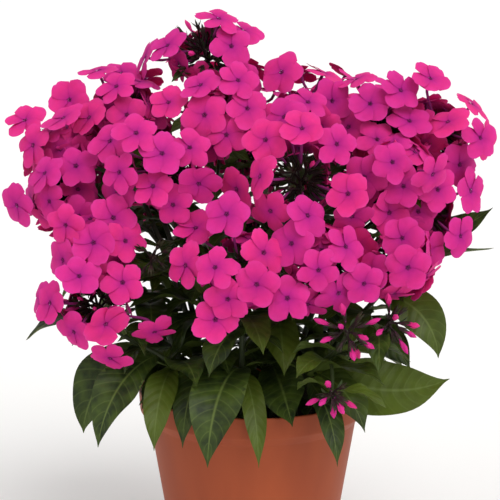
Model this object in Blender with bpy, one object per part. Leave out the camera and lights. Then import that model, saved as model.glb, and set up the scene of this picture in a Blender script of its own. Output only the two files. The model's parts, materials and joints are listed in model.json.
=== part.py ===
"""A garden phlox in full bloom in a plain plastic pot.

Metres, +Z up. The origin is the middle of the pot's underside and the front is towards -Y.
The lists of places below are in millimetres and degrees, where azimuth 0 is the front,
positive to the right, and elevation is up from level.
"""

import math
import random

import bmesh
import bpy
from mathutils import Quaternion, Vector
from mathutils.bvhtree import BVHTree

MM = 0.001
UP = Vector((0, 0, 1))
GOLDEN_ANGLE = 137.508
SEED = 7

# The pot, a moulded one with a rim band, a shoulder under it and a tapering wall
RIM_RADIUS = 90.0 * MM
RIM_BAND = 16.0 * MM
RIM_TAPER = 1.0 * MM
SHOULDER_RADIUS = 82.0 * MM
SHOULDER_DROP = 8.0 * MM
INNER_STEP_RISE = 1.5 * MM
FOOT_RADIUS = 61.0 * MM
POT_HEIGHT = 150.0 * MM
POT_WALL = 2.6 * MM
POT_FLOOR = 3.5 * MM
POT_SIDES = 24
DRAIN_HOLES = 4
DRAIN_RADIUS = 6.0 * MM
DRAIN_RING = 36.0 * MM
DRAIN_SIDES = 6

# The soil, with a plain hole for each stem
GAP = 0.3 * MM
SOIL_TOP = 134.0 * MM
HOLE_DEPTH = 30.0 * MM
HOLE_SLACK = 0.8 * MM
HOLE_SIDES = 4

# Stems
STEM_FOOT_RADIUS = 2.6 * MM
STEM_TOP_RADIUS = 1.8 * MM
STEM_STRAIGHT = 5.0 * MM
STEM_STEPS = 5
STEM_SIDES = 4
# How far a stem runs on in the way it set out, as a share of the distance to its end
STEM_PULL = 0.42
BRANCH_RADIUS = 1.6 * MM
BRANCH_STEPS = 3
BRANCH_SIDES = 3

# Florets: five petals, whose outline is given as (degrees from the petal's middle,
# share of the radius, height over the throat)
FLORET_RADIUS = 18.5 * MM
PETALS = 5
PETAL_OUTLINE = (
    (-36, 0.5, 0.2 * MM),
    (-25, 0.93, -0.4 * MM),
    (0, 1.0, -1.4 * MM),
    (25, 0.93, -0.4 * MM),
)
THROAT_DIP = 1.0 * MM
TUBE_RADIUS = 1.5 * MM
TUBE_SHOULDER = 3.4 * MM
TUBE_SIDES = 3
CORE_RADIUS = 9.0 * MM
TUBE_SUNK = 3.0 * MM
# A floret looks this much along its own tube, and otherwise where its head looks
FACING_SHARE = 0.55
LEAST_SPACING = 19.0 * MM
# The spiral that fills a head goes this many degrees round from its axis
HEAD_SPREAD = 112
TRIES_PER_FLORET = 3
# Blades of one node may meet this near the middle of their head
FLORET_ROOT_REACH = 14.4 * MM

# What keeps blades of one node and of its neighbours apart
CLEARANCE = 0.7 * MM

# Leaves: (share of the length, share of the half width)
LEAF_OUTLINE = ((0.0, 0.0), (0.22, 0.76), (0.48, 1.0), (0.78, 0.6))
LEAF_ROOT = 0.8 * MM
LEAF_THICKNESS = 1.5 * MM
LEAF_FOLD = 0.22
LEAF_STEPS = 24
LEAF_ROOT_REACH = 5.0 * MM

# Buds of a spray: (share of the length, radius)
BUD_OUTLINE = ((0.0, 0.7 * MM), (0.45, 1.6 * MM), (0.72, 2.2 * MM))
BUD_SIDES = 3
SPRAY_CORE = 4.0 * MM
BUD_ROOT_REACH = 5.6 * MM

# Heads: name, middle, reach of the florets, where the head looks (azimuth, elevation),
# bare degrees round its axis, florets that are wanted in all, and the directions in which
# single florets are seen to stand, each with its own reach where it differs
HEADS = (
    ("top", (-35, 10, 410), 40, (0, 50), 30, 7,
     ((-50, 15), (22, 50), (70, 33, 37), (-85, 0, 48), (30, 15), (50, -22), (-150, 5))),
    ("left_top", (-100, 0, 364), 38, (-25, 55), 0, 7,
     ((-5, 45), (-38, 5), (10, 10, 34), (-75, 20))),
    ("left_shoulder", (-142, -8, 342), 34, (-50, 40), 0, 5,
     ((-80, 34, 39), (-45, 8), (0, 45), (-30, -26))),
    ("left", (-143, -28, 306), 40, (-35, 10), 0, 5,
     ((-50, -2, 43), (-10, 5), (-15, 32), (25, 45), (22, -12))),
    ("left_low", (-112, -62, 275), 36, (-15, 10), 0, 6,
     ((-5, 15), (-50, -10), (35, 15))),
    ("centre_left", (-65, -52, 330), 44, (-5, 25), 0, 10,
     ((0, 25), (35, 32), (-10, -8), (12, -30), (-42, 5), (-60, 50), (25, 2, 40))),
    ("centre_top", (-25, -22, 362), 42, (0, 50), 0, 7,
     ((-15, 15), (30, 20), (8, -5), (-25, 45), (-55, 0))),
    ("crown", (36, -2, 360), 43, (10, 50), 0, 7,
     ((8, 28), (-55, 40), (45, 30), (25, 2, 40), (-40, 10))),
    ("crown_right", (96, -5, 353), 42, (0, 50), 0, 7,
     ((-15, 38), (32, 18), (-5, 0), (25, -18), (-45, 12))),
    ("right_top", (139, -5, 352), 40, (40, 40), 0, 7,
     ((-14, 62, 51), (10, 20), (75, -5), (30, -30), (-12, 8))),
    ("right_mid", (110, -45, 328), 36, (5, 20), 0, 5,
     ((-15, 20), (0, -12), (-48, 0), (30, 5), (-70, -26))),
    ("right", (126, -35, 298), 42, (40, 20), 0, 5,
     ((22, 34), (78, 22), (-35, 5), (48, -22), (6, -39))),
    ("right_low", (108, -65, 264), 38, (15, 5), 0, 6,
     ((0, 38), (5, 5), (-35, -5), (-10, -38), (48, 10))),
    ("dome", (35, -65, 325), 50, (0, 12), 38, 11,
     ((-72, -5), (-38, 10), (-32, -22), (5, -22), (42, -5), (58, -28), (-45, 42), (0, 52),
      (40, 38))),
    ("dome_low", (52, -88, 272), 36, (15, 5), 0, 6,
     ((25, 22), (-40, 22), (45, -20), (-8, -2))),
    ("front", (-8, -85, 260), 48, (0, 15), 0, 12,
     ((-60, 12), (-12, -12), (12, 2, 52), (38, -30), (50, 10), (-38, 42), (-22, 15, 44),
      (-85, 45), (22, 28))),
    ("low_left", (-115, -72, 233), 44, (-15, 5), 0, 8,
     ((-88, 5, 43), (-48, 10), (-15, 38), (35, 32), (12, -5, 48), (68, -20, 50),
      (25, -55), (-24, -20, 42))),
    ("rear_left_high", (-92, 50, 350), 40, (-140, 50), 0, 6, ()),
    ("rear_top", (-14, 54, 362), 40, (180, 55), 0, 6, ()),
    ("rear_right_high", (56, 52, 358), 40, (150, 50), 0, 6, ()),
    ("rear_right", (126, 48, 322), 40, (120, 35), 0, 6, ()),
    ("rear_right_top", (98, 34, 350), 38, (120, 60), 0, 5, ()),
    ("rear_left", (-140, 40, 312), 40, (-120, 25), 0, 6, ()),
    ("rear_low_left", (-82, 108, 288), 40, (-155, 20), 0, 5, ()),
    ("rear_middle", (-8, 116, 322), 40, (180, 30), 0, 6, ()),
    ("rear_low_right", (68, 112, 298), 40, (155, 25), 0, 6, ()),
    ("rear_side", (116, 72, 278), 40, (105, 15), 0, 5, ()),
    ("rear_low", (2, 122, 246), 40, (178, 10), 0, 6, ()),
    ("side_left", (-116, 52, 250), 38, (-95, 10), 0, 5, ()),
)

# Sprays of buds or bare calyxes: name, middle, axis, spread in degrees, buds, length
SPRAYS = (
    ("buds_right", (68, -112, 222), (10, 0), 100, 11, 24),
    ("buds_far_right", (100, -92, 224), (40, 0), 95, 9, 24),
    ("buds_drooping", (57, -124, 180), (0, -40), 90, 8, 20),
    ("calyxes_left", (-74, -82, 272), (-5, 0), 75, 9, 18),
)

# Stems: name, foot on the soil, what each carries as (head or spray, share of the main
# stem's length where its branch leaves; 1 for the main stem's own end)
STEMS = (
    ("stem_top", (-22, 8), (("top", 1), ("centre_top", 0.62))),
    ("stem_left_top", (-44, 6), (("left_top", 1), ("left_shoulder", 0.6))),
    ("stem_left", (-52, -14), (("left", 1), ("left_low", 0.55))),
    ("stem_low_left", (-42, -38), (("low_left", 1),)),
    ("stem_centre_left", (-24, -24), (("centre_left", 1), ("calyxes_left", 0.5))),
    ("stem_crown", (12, 0), (("crown", 1),)),
    ("stem_front", (-8, -48), (("front", 1),)),
    ("stem_dome", (12, -28), (("dome", 1), ("dome_low", 0.5))),
    ("stem_crown_right", (34, 8), (("crown_right", 1), ("right_mid", 0.6))),
    ("stem_right_top", (54, 6), (("right_top", 1), ("right", 0.6))),
    ("stem_right", (50, -20), (("right_low", 1),)),
    ("stem_buds", (32, -50), (("buds_right", 1), ("buds_far_right", 0.55),
                              ("buds_drooping", 0.7))),
    ("stem_rear_left", (-42, 32), (("rear_left_high", 1), ("rear_left", 0.6))),
    ("stem_rear_top", (-8, 30), (("rear_top", 1), ("rear_middle", 0.6))),
    ("stem_rear_right_high", (24, 34), (("rear_right_high", 1), ("rear_low_right", 0.55))),
    ("stem_rear_right", (50, 32), (("rear_right_top", 1), ("rear_right", 0.6),
                                   ("rear_side", 0.45))),
    ("stem_rear_low", (-10, 56), (("rear_low", 1), ("rear_low_left", 0.5))),
    ("stem_side_left", (-60, 20), (("side_left", 1),)),
)

# Leaves that the photo shows: stem, height where it leaves, azimuth, length, width,
# elevation at the root and at the tip, and roll about the midrib
SEEN_LEAVES = (
    ("stem_front", 178, -18, 112, 40, 20, -88, 0),
    ("stem_front", 176, 12, 92, 18, 0, -88, 0),
    ("stem_low_left", 186, -38, 96, 34, 0, -80, -20),
    ("stem_low_left", 192, -72, 86, 40, -15, -88, -50),
    ("stem_low_left", 176, -12, 84, 24, 5, -86, 0),
    ("stem_centre_left", 182, -20, 100, 26, 10, -88, 0),
    ("stem_dome", 176, 22, 88, 36, -5, -30, 25),
    ("stem_buds", 172, 22, 84, 21, 0, -84, 0),
    ("stem_buds", 184, 80, 104, 44, -32, 27, 60),
    ("stem_buds", 180, 45, 68, 26, 0, -70, 20),
    ("stem_right", 234, 62, 74, 31, 4, -88, 55),
    ("stem_right_top", 268, 80, 94, 27, -8, 41, 50),
    ("stem_right_top", 246, 86, 104, 17, 10, 6, 15),
    ("stem_right", 212, 46, 62, 26, -10, -50, 40),
    ("stem_left", 262, -60, 40, 15, 0, -60, 0),
    ("stem_front", 212, -28, 62, 26, 10, -65, 0),
    ("stem_dome", 214, 4, 66, 27, -5, -60, 0),
    ("stem_top", 372, 95, 26, 12, 20, -30, 0),
    ("stem_left_top", 348, -60, 26, 12, 20, -20, 0),
    ("stem_right_top", 322, 10, 34, 12, 10, -20, 0),
    ("stem_crown_right", 322, -25, 34, 12, 10, -20, 0),
)

# The rest of the leaves: opposite pairs, each pair a quarter turn from the last
PAIR_HEIGHTS = (174, 218)
PAIR_STEP = 2.5
PAIR_LENGTH = 78.0
PAIR_SHORTER = 12.0
PAIR_WIDTH_SHARE = 0.38
PAIR_RISE = 22.0
PAIR_FALL = -48.0
# Above the first pair, a leaf that points in at the crowded middle by this much is bare
CROWDED_SHARE = 0.4
# A leaf that would cross something is turned, then tilted, then made smaller
LEAF_TURNS = (0, 12, -12, 24, -24, 38, -38)
LEAF_SCALES = (1.0, 0.85, 0.7, 0.55)
LEAF_TILTS = (0, 18, -18)

# A floret that would cross something turns, then stands further out or in, then leans
FLORET_REACHES = (1.0, 1.08, 0.92, 1.16, 0.84)
FLORET_SPINS = (0, 36)
FLORET_LEANS = ((0, 0), (0.3, 0.15), (-0.3, 0.1), (0.1, -0.3), (-0.1, 0.35))


def direction(azimuth, elevation):
    """The unit vector at an azimuth and an elevation in degrees."""
    turn = math.radians(azimuth)
    lift = math.radians(elevation)
    level = math.cos(lift)
    return Vector((math.sin(turn) * level, -math.cos(turn) * level, math.sin(lift)))


def sides_of(axis):
    """Two unit vectors square to an axis, so that first x second points along it."""
    first = UP.cross(axis)
    if first.length < 0.05:
        first = Vector((1, 0, 0)).cross(axis)
    first.normalize()
    return first, axis.cross(first)


def clear_scene():
    for obj in list(bpy.data.objects):
        bpy.data.objects.remove(obj)


def material(name, colour, roughness):
    made = bpy.data.materials.new(name)
    made.use_nodes = True
    shader = made.node_tree.nodes["Principled BSDF"]
    shader.inputs["Base Color"].default_value = (*colour, 1)
    shader.inputs["Roughness"].default_value = roughness
    shader.inputs["Metallic"].default_value = 0
    made.diffuse_color = (*colour, 1)
    return made


def add_object(name, shape, finish):
    """An object from (points, faces)."""
    mesh = bpy.data.meshes.new(name)
    mesh.from_pydata([tuple(point) for point in shape[0]], [], shape[1])
    mesh.materials.append(finish)
    obj = bpy.data.objects.new(name, mesh)
    bpy.context.scene.collection.objects.link(obj)
    return obj


def apply_modifiers(obj):
    graph = bpy.context.evaluated_depsgraph_get()
    made = bpy.data.meshes.new_from_object(obj.evaluated_get(graph))
    obj.modifiers.clear()
    obj.data = made


def boolean(obj, pieces, operation):
    """Joins or cuts an object with the pieces, which are removed."""
    group = bpy.data.collections.new("pieces")
    bpy.context.scene.collection.children.link(group)
    for piece in pieces:
        bpy.context.scene.collection.objects.unlink(piece)
        group.objects.link(piece)
    modifier = obj.modifiers.new(operation.title(), "BOOLEAN")
    modifier.operation = operation
    modifier.operand_type = "COLLECTION"
    modifier.collection = group
    modifier.solver = "EXACT"
    apply_modifiers(obj)
    for piece in pieces:
        bpy.data.objects.remove(piece)
    bpy.data.collections.remove(group)


def outer_body(obj):
    """Keeps the largest closed surface: drops scraps and fills hollows that fusing seals."""
    mesh = bmesh.new()
    mesh.from_mesh(obj.data)
    left = set(mesh.verts)
    shells = []
    while left:
        reached = {left.pop()}
        edge = list(reached)
        while edge:
            near = {e.other_vert(v) for v in edge for e in v.link_edges} & left
            left -= near
            reached |= near
            edge = list(near)
        shells.append(reached)
    shells.sort(key=len)
    for shell in shells[:-1]:
        bmesh.ops.delete(mesh, geom=list(shell), context="VERTS")
    bmesh.ops.triangulate(mesh, faces=mesh.faces)
    mesh.to_mesh(obj.data)
    mesh.free()


def turned(profile, sides):
    """A closed solid turned round Z from (radius, height) points, from axis to axis."""
    points = []
    rings = []
    for radius, height in profile:
        if radius == 0:
            rings.append([len(points)])
            points.append(Vector((0, 0, height)))
            continue
        rings.append(list(range(len(points), len(points) + sides)))
        for k in range(sides):
            turn = math.tau * k / sides
            points.append(Vector((radius * math.cos(turn), radius * math.sin(turn), height)))
    faces = []
    for low, high in zip(rings, rings[1:]):
        for k in range(sides):
            ring = [low[k % len(low)], low[(k + 1) % len(low)]]
            ring += [high[(k + 1) % len(high)], high[k % len(high)]]
            faces.append(list(dict.fromkeys(ring)))
    return points, faces


def tube(path, radii, sides):
    """A tube of the given radii along the points. An end is flat, or pointed if its radius is 0."""
    points = []
    rings = []
    across = (path[1] - path[0]).orthogonal()
    last = len(path) - 1
    for k, (place, radius) in enumerate(zip(path, radii)):
        along = (path[min(k + 1, last)] - path[max(k - 1, 0)]).normalized()
        across = (across - along * across.dot(along)).normalized()
        second = along.cross(across)
        if radius == 0:
            rings.append([len(points)] * sides)
            points.append(place)
            continue
        rings.append(list(range(len(points), len(points) + sides)))
        for m in range(sides):
            turn = math.tau * m / sides
            points.append(place + (across * math.cos(turn) + second * math.sin(turn)) * radius)
    faces = []
    if radii[0]:
        faces.append(list(reversed(rings[0])))
    for low, high in zip(rings, rings[1:]):
        for m in range(sides):
            n = (m + 1) % sides
            if low[m] != low[n]:
                faces.append([low[m], low[n], high[n]])
            if high[m] != high[n]:
                faces.append([low[m], high[n], high[m]])
    if radii[-1]:
        faces.append(list(rings[-1]))
    return points, faces


def core(middle, radius):
    """The small core that a head's tubes or a spray's buds stand out of: eight faces."""
    return tube(
        [middle - UP * radius, middle, middle + UP * radius], [0, radius, 0], 4
    )


def floret(throat, facing, spin, root, radius=FLORET_RADIUS):
    """One floret: a five-petalled blade that thins to its edge, on a tube down to root."""
    first, second = sides_of(facing)

    def place(turn, out, height):
        turn = math.radians(turn)
        level = first * math.cos(turn) + second * math.sin(turn)
        return throat + level * out + facing * height

    points = [throat - facing * THROAT_DIP]
    for petal in range(PETALS):
        for turn, share, height in PETAL_OUTLINE:
            turn += spin + petal * 360 / PETALS
            points.append(place(turn, radius * share, height))
    count = len(points) - 1
    for k in range(TUBE_SIDES):
        # Each corner of the tube stands at the outline point that its third begins with
        turn = spin + PETAL_OUTLINE[0][0] + 360 * (k + 0.5) / TUBE_SIDES
        points.append(place(turn, TUBE_RADIUS, -TUBE_SHOULDER))
    points.append(root)
    under = count + 1
    faces = []
    for k in range(count):
        here = 1 + k
        after = 1 + (k + 1) % count
        corner = under + k * TUBE_SIDES // count
        corner_after = under + (k + 1) % count * TUBE_SIDES // count
        faces.append([0, here, after])
        faces.append([here, corner, after])
        if corner_after != corner:
            faces.append([after, corner, corner_after])
    for k in range(TUBE_SIDES):
        faces.append([under + k, len(points) - 1, under + (k + 1) % TUBE_SIDES])
    return points, faces


def leaf_path(root, azimuth, length, rise, fall):
    """Points, directions and left side of a midrib whose slope goes from rise to fall."""
    points = [root.copy()]
    ways = []
    for k in range(LEAF_STEPS):
        slope = rise + (fall - rise) * (k + 0.5) / LEAF_STEPS
        ways.append(direction(azimuth, slope))
        points.append(points[-1] + ways[-1] * (length / LEAF_STEPS))
    ways.append(ways[-1])
    return points, ways, UP.cross(direction(azimuth, 0))


def leaf(root, azimuth, length, width, rise, fall, roll=0):
    """One leaf: a blade folded a little at its midrib, thickest there, thin at its edge."""
    path, ways, left = leaf_path(root, azimuth, length, rise, fall)
    points = []
    for share, half in LEAF_OUTLINE:
        k = round(share * LEAF_STEPS)
        middle = path[k]
        across = Quaternion(ways[k], math.radians(roll)) @ left
        above = ways[k].cross(across)
        out = max(width / 2 * half, LEAF_ROOT)
        lift = above * (out * LEAF_FOLD)
        points += [middle + across * out + lift, middle]
        points += [middle - across * out + lift, middle - above * LEAF_THICKNESS]
    points.append(path[-1])
    faces = [[0, 3, 1], [3, 2, 1]]
    for k in range(len(LEAF_OUTLINE) - 1):
        a, b, c, d = (4 * k + m for m in range(4))
        e, f, g, h = (4 * k + 4 + m for m in range(4))
        faces += [[a, b, f], [a, f, e], [b, c, f], [c, g, f]]
        faces += [[a, e, h], [a, h, d], [c, d, h], [c, h, g]]
    a, b, c, d = (4 * (len(LEAF_OUTLINE) - 1) + m for m in range(4))
    tip = len(points) - 1
    faces += [[a, b, tip], [b, c, tip], [a, tip, d], [d, tip, c]]
    return points, faces


def bud(root, way, length):
    """One bud or calyx: a slim pointed spindle."""
    path = [root + way * (share * length) for share, _ in BUD_OUTLINE] + [root + way * length]
    return tube(path, [radius for _, radius in BUD_OUTLINE] + [0], BUD_SIDES)


def fattened(shape, by):
    """The shape with every point moved out by a distance."""
    points, faces = shape
    normals = [Vector((0, 0, 0)) for _ in points]
    for face in faces:
        a, b, c = (points[k] for k in face[:3])
        square = (b - a).cross(c - a)
        for k in face:
            normals[k] += square
    return [p + n.normalized() * by for p, n in zip(points, normals)], faces


def without_root(shape, root, reach):
    """The faces that stay further from the root than reach."""
    points, faces = shape
    kept = [f for f in faces if min((points[k] - root).length for k in f) > reach]
    return points, kept


class Garden:
    """What has been placed so far, so that nothing new crosses it."""

    def __init__(self):
        self.placed = []
        self.pieces = {}

    def tree_of(self, shape):
        return BVHTree.FromPolygons(*shape)

    def middle_and_size(self, shape):
        used = [shape[0][k] for face in shape[1] for k in face]
        middle = sum(used, Vector()) / len(used)
        return middle, max((point - middle).length for point in used)

    def add(self, node, shape, blade=None):
        """Takes a piece of a node. Blade is the piece without the root that its own node hides."""
        middle, size = self.middle_and_size(shape)
        entry = (node, middle, size, self.tree_of(shape), blade and self.tree_of(blade))
        self.placed.append(entry)
        self.pieces.setdefault(node, []).append(shape)

    def clear(self, node, shape, blade):
        """Whether a new piece stays clear of all other nodes, and its blade of its own node's."""
        fat = fattened(shape, CLEARANCE)
        fat_tree = self.tree_of(fat)
        blade_tree = self.tree_of((fat[0], blade[1])) if blade else None
        middle, size = self.middle_and_size(fat)
        for other, place, reach, tree, other_blade in self.placed:
            if (place - middle).length > size + reach:
                continue
            if other != node:
                if fat_tree.overlap(tree):
                    return False
            elif blade_tree and other_blade and blade_tree.overlap(other_blade):
                return False
        return True


def wall_radius(height):
    """The outer radius of the pot's tapering wall at a height under the shoulder."""
    share = height / (POT_HEIGHT - RIM_BAND - SHOULDER_DROP)
    return FOOT_RADIUS + (SHOULDER_RADIUS - FOOT_RADIUS) * share


def make_pot(finish):
    shoulder = POT_HEIGHT - RIM_BAND
    profile = (
        (0, 0),
        (FOOT_RADIUS, 0),
        (SHOULDER_RADIUS, shoulder - SHOULDER_DROP),
        (RIM_RADIUS - RIM_TAPER, shoulder),
        (RIM_RADIUS, POT_HEIGHT),
        (RIM_RADIUS - POT_WALL, POT_HEIGHT),
        (SHOULDER_RADIUS - POT_WALL, shoulder - SHOULDER_DROP + INNER_STEP_RISE),
        (wall_radius(POT_FLOOR) - POT_WALL, POT_FLOOR),
        (0, POT_FLOOR),
    )
    pot = add_object("pot", turned(profile, POT_SIDES), finish)
    cutters = []
    for k in range(DRAIN_HOLES):
        turn = math.tau * (k + 0.5) / DRAIN_HOLES
        middle = Vector((math.cos(turn), math.sin(turn), 0)) * DRAIN_RING
        ends = [middle - UP * POT_FLOOR, middle + UP * (2 * POT_FLOOR)]
        cutters.append(add_object("drain", tube(ends, [DRAIN_RADIUS] * 2, DRAIN_SIDES), finish))
    boolean(pot, cutters, "DIFFERENCE")
    outer_body(pot)
    pot.data.shade_smooth()
    pot.data.set_sharp_from_angle(angle=math.radians(30))
    return pot


def make_soil(finish):
    low = POT_FLOOR + GAP
    inset = POT_WALL + 2 * GAP
    profile = (
        (0, low),
        (wall_radius(low) - inset, low),
        (SHOULDER_RADIUS - inset, POT_HEIGHT - RIM_BAND - SHOULDER_DROP),
        (SHOULDER_RADIUS - inset, SOIL_TOP),
    )
    points, faces = turned(profile, POT_SIDES)
    faces.append(list(range(len(points) - POT_SIDES, len(points))))
    soil = add_object("soil", (points, faces), finish)
    cutters = []
    for _, foot, _ in STEMS:
        place = Vector((*foot, 0)) * MM
        ends = [place + UP * (SOIL_TOP - HOLE_DEPTH), place + UP * (SOIL_TOP + HOLE_DEPTH)]
        radius = STEM_FOOT_RADIUS + HOLE_SLACK
        cutters.append(add_object("hole", tube(ends, [radius] * 2, HOLE_SIDES), finish))
    boolean(soil, cutters, "DIFFERENCE")
    outer_body(soil)
    return soil


def curve_between(start, start_way, end, end_way, steps):
    """Points on a smooth curve that leaves start and reaches end along the two ways."""
    pull = (end - start).length * STEM_PULL
    b = start + start_way * pull
    c = end - end_way * pull
    points = []
    for k in range(steps + 1):
        t = k / steps
        s = 1 - t
        points.append(start * s**3 + b * (3 * s * s * t) + c * (3 * s * t * t) + end * t**3)
    return points


def along(path, share):
    """The point and direction at a share of a path's points."""
    spot = share * (len(path) - 1)
    k = min(int(spot), len(path) - 2)
    return path[k].lerp(path[k + 1], spot - k), (path[k + 1] - path[k]).normalized()


def place_stems(garden):
    """Adds every stem with its branches. Returns each main stem's path by name."""
    ends = {}
    for name, middle, _, look, _, _, _ in HEADS:
        ends[name] = (Vector(middle) * MM, look, CORE_RADIUS)
    for name, middle, look, _, _, _ in SPRAYS:
        ends[name] = (Vector(middle) * MM, look, SPRAY_CORE)
    paths = {}
    for name, foot, carried in STEMS:
        start = Vector((*foot, 0)) * MM + UP * (SOIL_TOP - HOLE_DEPTH + GAP)
        main = None
        for end_name, share in carried:
            middle, look, core = ends[end_name]
            way = (direction(*look) + UP).normalized()
            end = middle - way * (core + 2 * GAP)
            if main is None:
                above = start + UP * (HOLE_DEPTH + STEM_STRAIGHT)
                main = [start, *curve_between(above, UP, end, way, STEM_STEPS - 1)]
                radii = [
                    STEM_FOOT_RADIUS + (STEM_TOP_RADIUS - STEM_FOOT_RADIUS) * k / STEM_STEPS
                    for k in range(STEM_STEPS + 1)
                ]
                garden.add(name, tube(main, radii, STEM_SIDES))
                paths[name] = main
            else:
                fork, fork_way = along(main, share)
                branch = curve_between(fork, fork_way, end, way, BRANCH_STEPS)
                radii = [BRANCH_RADIUS] * (BRANCH_STEPS + 1)
                garden.add(name, tube(branch, radii, BRANCH_SIDES))
    return paths


def stem_point(path, height):
    """Where a stem passes a height, or None above its top."""
    for low, high in zip(path, path[1:]):
        if low.z <= height <= high.z:
            return low.lerp(high, (height - low.z) / (high.z - low.z))
    return None


def place_leaf(garden, node, path, height, azimuth, length, width, rise, fall, roll=0):
    """Adds one leaf, turned, tilted or made smaller until it crosses nothing."""
    root = stem_point(path, height)
    if root is None:
        return
    for scale in LEAF_SCALES:
        for tilt in LEAF_TILTS:
            for turn in LEAF_TURNS:
                shape = leaf(root, azimuth + turn, length * scale, width * scale,
                             rise + tilt, fall + tilt, roll)
                blade = without_root(shape, root, LEAF_ROOT_REACH)
                if garden.clear(node, shape, blade):
                    garden.add(node, shape, blade)
                    return


def place_seen_leaves(garden, paths):
    for stem, height, azimuth, length, width, rise, fall, roll in SEEN_LEAVES:
        place_leaf(garden, stem, paths[stem], height * MM, azimuth, length * MM,
                   width * MM, rise, fall, roll)


def place_pairs(garden, paths):
    """Adds the opposite pairs of leaves up each stem, where there is room."""
    for number, (stem, path) in enumerate(paths.items()):
        for level, height in enumerate(PAIR_HEIGHTS):
            for side in range(2):
                azimuth = number * GOLDEN_ANGLE + level * 90 + side * 180
                inward = -direction(azimuth, 0).dot(path[0] - UP * path[0].z)
                if level and inward > CROWDED_SHARE * (path[0] - UP * path[0].z).length:
                    continue
                length = (PAIR_LENGTH - PAIR_SHORTER * level) * MM
                width = length * PAIR_WIDTH_SHARE
                place_leaf(garden, stem, path, (height + side * PAIR_STEP) * MM, azimuth,
                           length, width, PAIR_RISE, PAIR_FALL)


def place_floret(garden, node, hub, way, look, reach, spin, throats):
    """Adds one floret of a head, turned, moved or leaned until it crosses nothing."""
    first, second = sides_of(way)
    for lean in FLORET_LEANS:
        for share in FLORET_REACHES:
            for turn in FLORET_SPINS:
                throat = hub + way * (reach * share)
                if any((throat - other).length < LEAST_SPACING for other in throats):
                    continue
                facing = way * FACING_SHARE + look * (1 - FACING_SHARE)
                facing = (facing.normalized() + first * lean[0] + second * lean[1]).normalized()
                shape = floret(throat, facing, spin + turn, hub + way * TUBE_SUNK)
                blade = without_root(shape, hub, FLORET_ROOT_REACH)
                if garden.clear(node, shape, blade):
                    garden.add(node, shape, blade)
                    throats.append(throat)
                    return


def place_cores(garden):
    """Adds the small core of every head and spray."""
    for name, middle, _, _, _, _, _ in HEADS:
        garden.add("head_" + name, core(Vector(middle) * MM, CORE_RADIUS))
    for name, middle, _, _, _, _ in SPRAYS:
        garden.add(name, core(Vector(middle) * MM, SPRAY_CORE))


def place_seen_florets(garden, draw, throats):
    for name, middle, reach, look, _, _, seen in HEADS:
        hub = Vector(middle) * MM
        for azimuth, elevation, *own_reach in seen:
            out = (own_reach[0] if own_reach else reach) * MM
            way = direction(azimuth, elevation)
            place_floret(garden, "head_" + name, hub, way, direction(*look), out,
                         draw.uniform(0, 72), throats)


def fill_heads(garden, draw, throats):
    """Adds florets on a spiral round each head's axis until it has as many as it should."""
    for name, middle, reach, look, bare, wanted, _ in HEADS:
        node = "head_" + name
        hub = Vector(middle) * MM
        axis = direction(*look)
        first, second = sides_of(axis)
        tries = TRIES_PER_FLORET * wanted
        for k in range(tries):
            if len(garden.pieces[node]) > wanted:
                break
            polar = math.radians(bare + (HEAD_SPREAD - bare) * math.sqrt((k + 0.5) / tries))
            turn = math.radians(k * GOLDEN_ANGLE)
            level = first * math.cos(turn) + second * math.sin(turn)
            way = axis * math.cos(polar) + level * math.sin(polar)
            place_floret(garden, node, hub, way, axis, reach * MM, draw.uniform(0, 72), throats)


def place_sprays(garden):
    """Adds the buds of each spray, which stand out of its core on a spiral."""
    for name, middle, look, spread, count, length in SPRAYS:
        hub = Vector(middle) * MM
        axis = direction(*look)
        first, second = sides_of(axis)
        for k in range(count):
            polar = math.radians(spread * math.sqrt((k + 0.5) / count))
            turn = math.radians(k * GOLDEN_ANGLE)
            level = first * math.cos(turn) + second * math.sin(turn)
            way = axis * math.cos(polar) + level * math.sin(polar)
            shape = bud(hub + way * (SPRAY_CORE / 2), way, length * MM)
            blade = without_root(shape, hub, BUD_ROOT_REACH)
            if garden.clear(name, shape, blade):
                garden.add(name, shape, blade)


def fuse(name, shapes, finish):
    """One node from its pieces, joined by one Boolean union."""
    body = add_object(name, shapes[0], finish)
    pieces = [add_object("piece", shape, finish) for shape in shapes[1:]]
    boolean(body, pieces, "UNION")
    outer_body(body)
    return body


def main():
    clear_scene()
    plastic = material("terracotta_plastic", (0.35, 0.10, 0.05), 0.45)
    peat = material("peat", (0.03, 0.02, 0.015), 0.95)
    leaf_green = material("leaf_green", (0.04, 0.08, 0.02), 0.5)
    petal_pink = material("petal_magenta", (0.75, 0.03, 0.25), 0.6)
    bud_pink = material("bud_magenta", (0.45, 0.02, 0.2), 0.55)

    garden = Garden()
    draw = random.Random(SEED)
    pot = make_pot(plastic)
    soil = make_soil(peat)
    for obj in (pot, soil):
        points = [vert.co.copy() for vert in obj.data.vertices]
        faces = [list(face.vertices) for face in obj.data.polygons]
        garden.add(obj.name, (points, faces))
        del garden.pieces[obj.name]

    paths = place_stems(garden)
    place_cores(garden)
    throats = []
    place_seen_florets(garden, draw, throats)
    place_sprays(garden)
    place_seen_leaves(garden, paths)
    fill_heads(garden, draw, throats)
    place_pairs(garden, paths)

    for node, shapes in garden.pieces.items():
        finish = leaf_green
        if node.startswith("head_"):
            finish = petal_pink
        elif node.startswith("buds_"):
            finish = bud_pink
        fuse(node, shapes, finish)


main()
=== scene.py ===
"""A garden phlox in full bloom in its pot: petals, calyxes, leaves, pot and soil.

Metres, +Z up. The origin is the middle of the pot's underside and the front is towards -Y.
Azimuths are degrees from the front, positive to the right, and elevations degrees from level.
"""
import json
import math
import random
from functools import partial

import bmesh
import bpy
from bpy.props import FloatProperty, FloatVectorProperty, IntProperty, PointerProperty
from mathutils import Matrix, Quaternion, Vector, noise
from mathutils.bvhtree import BVHTree
from mathutils.kdtree import KDTree

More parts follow.
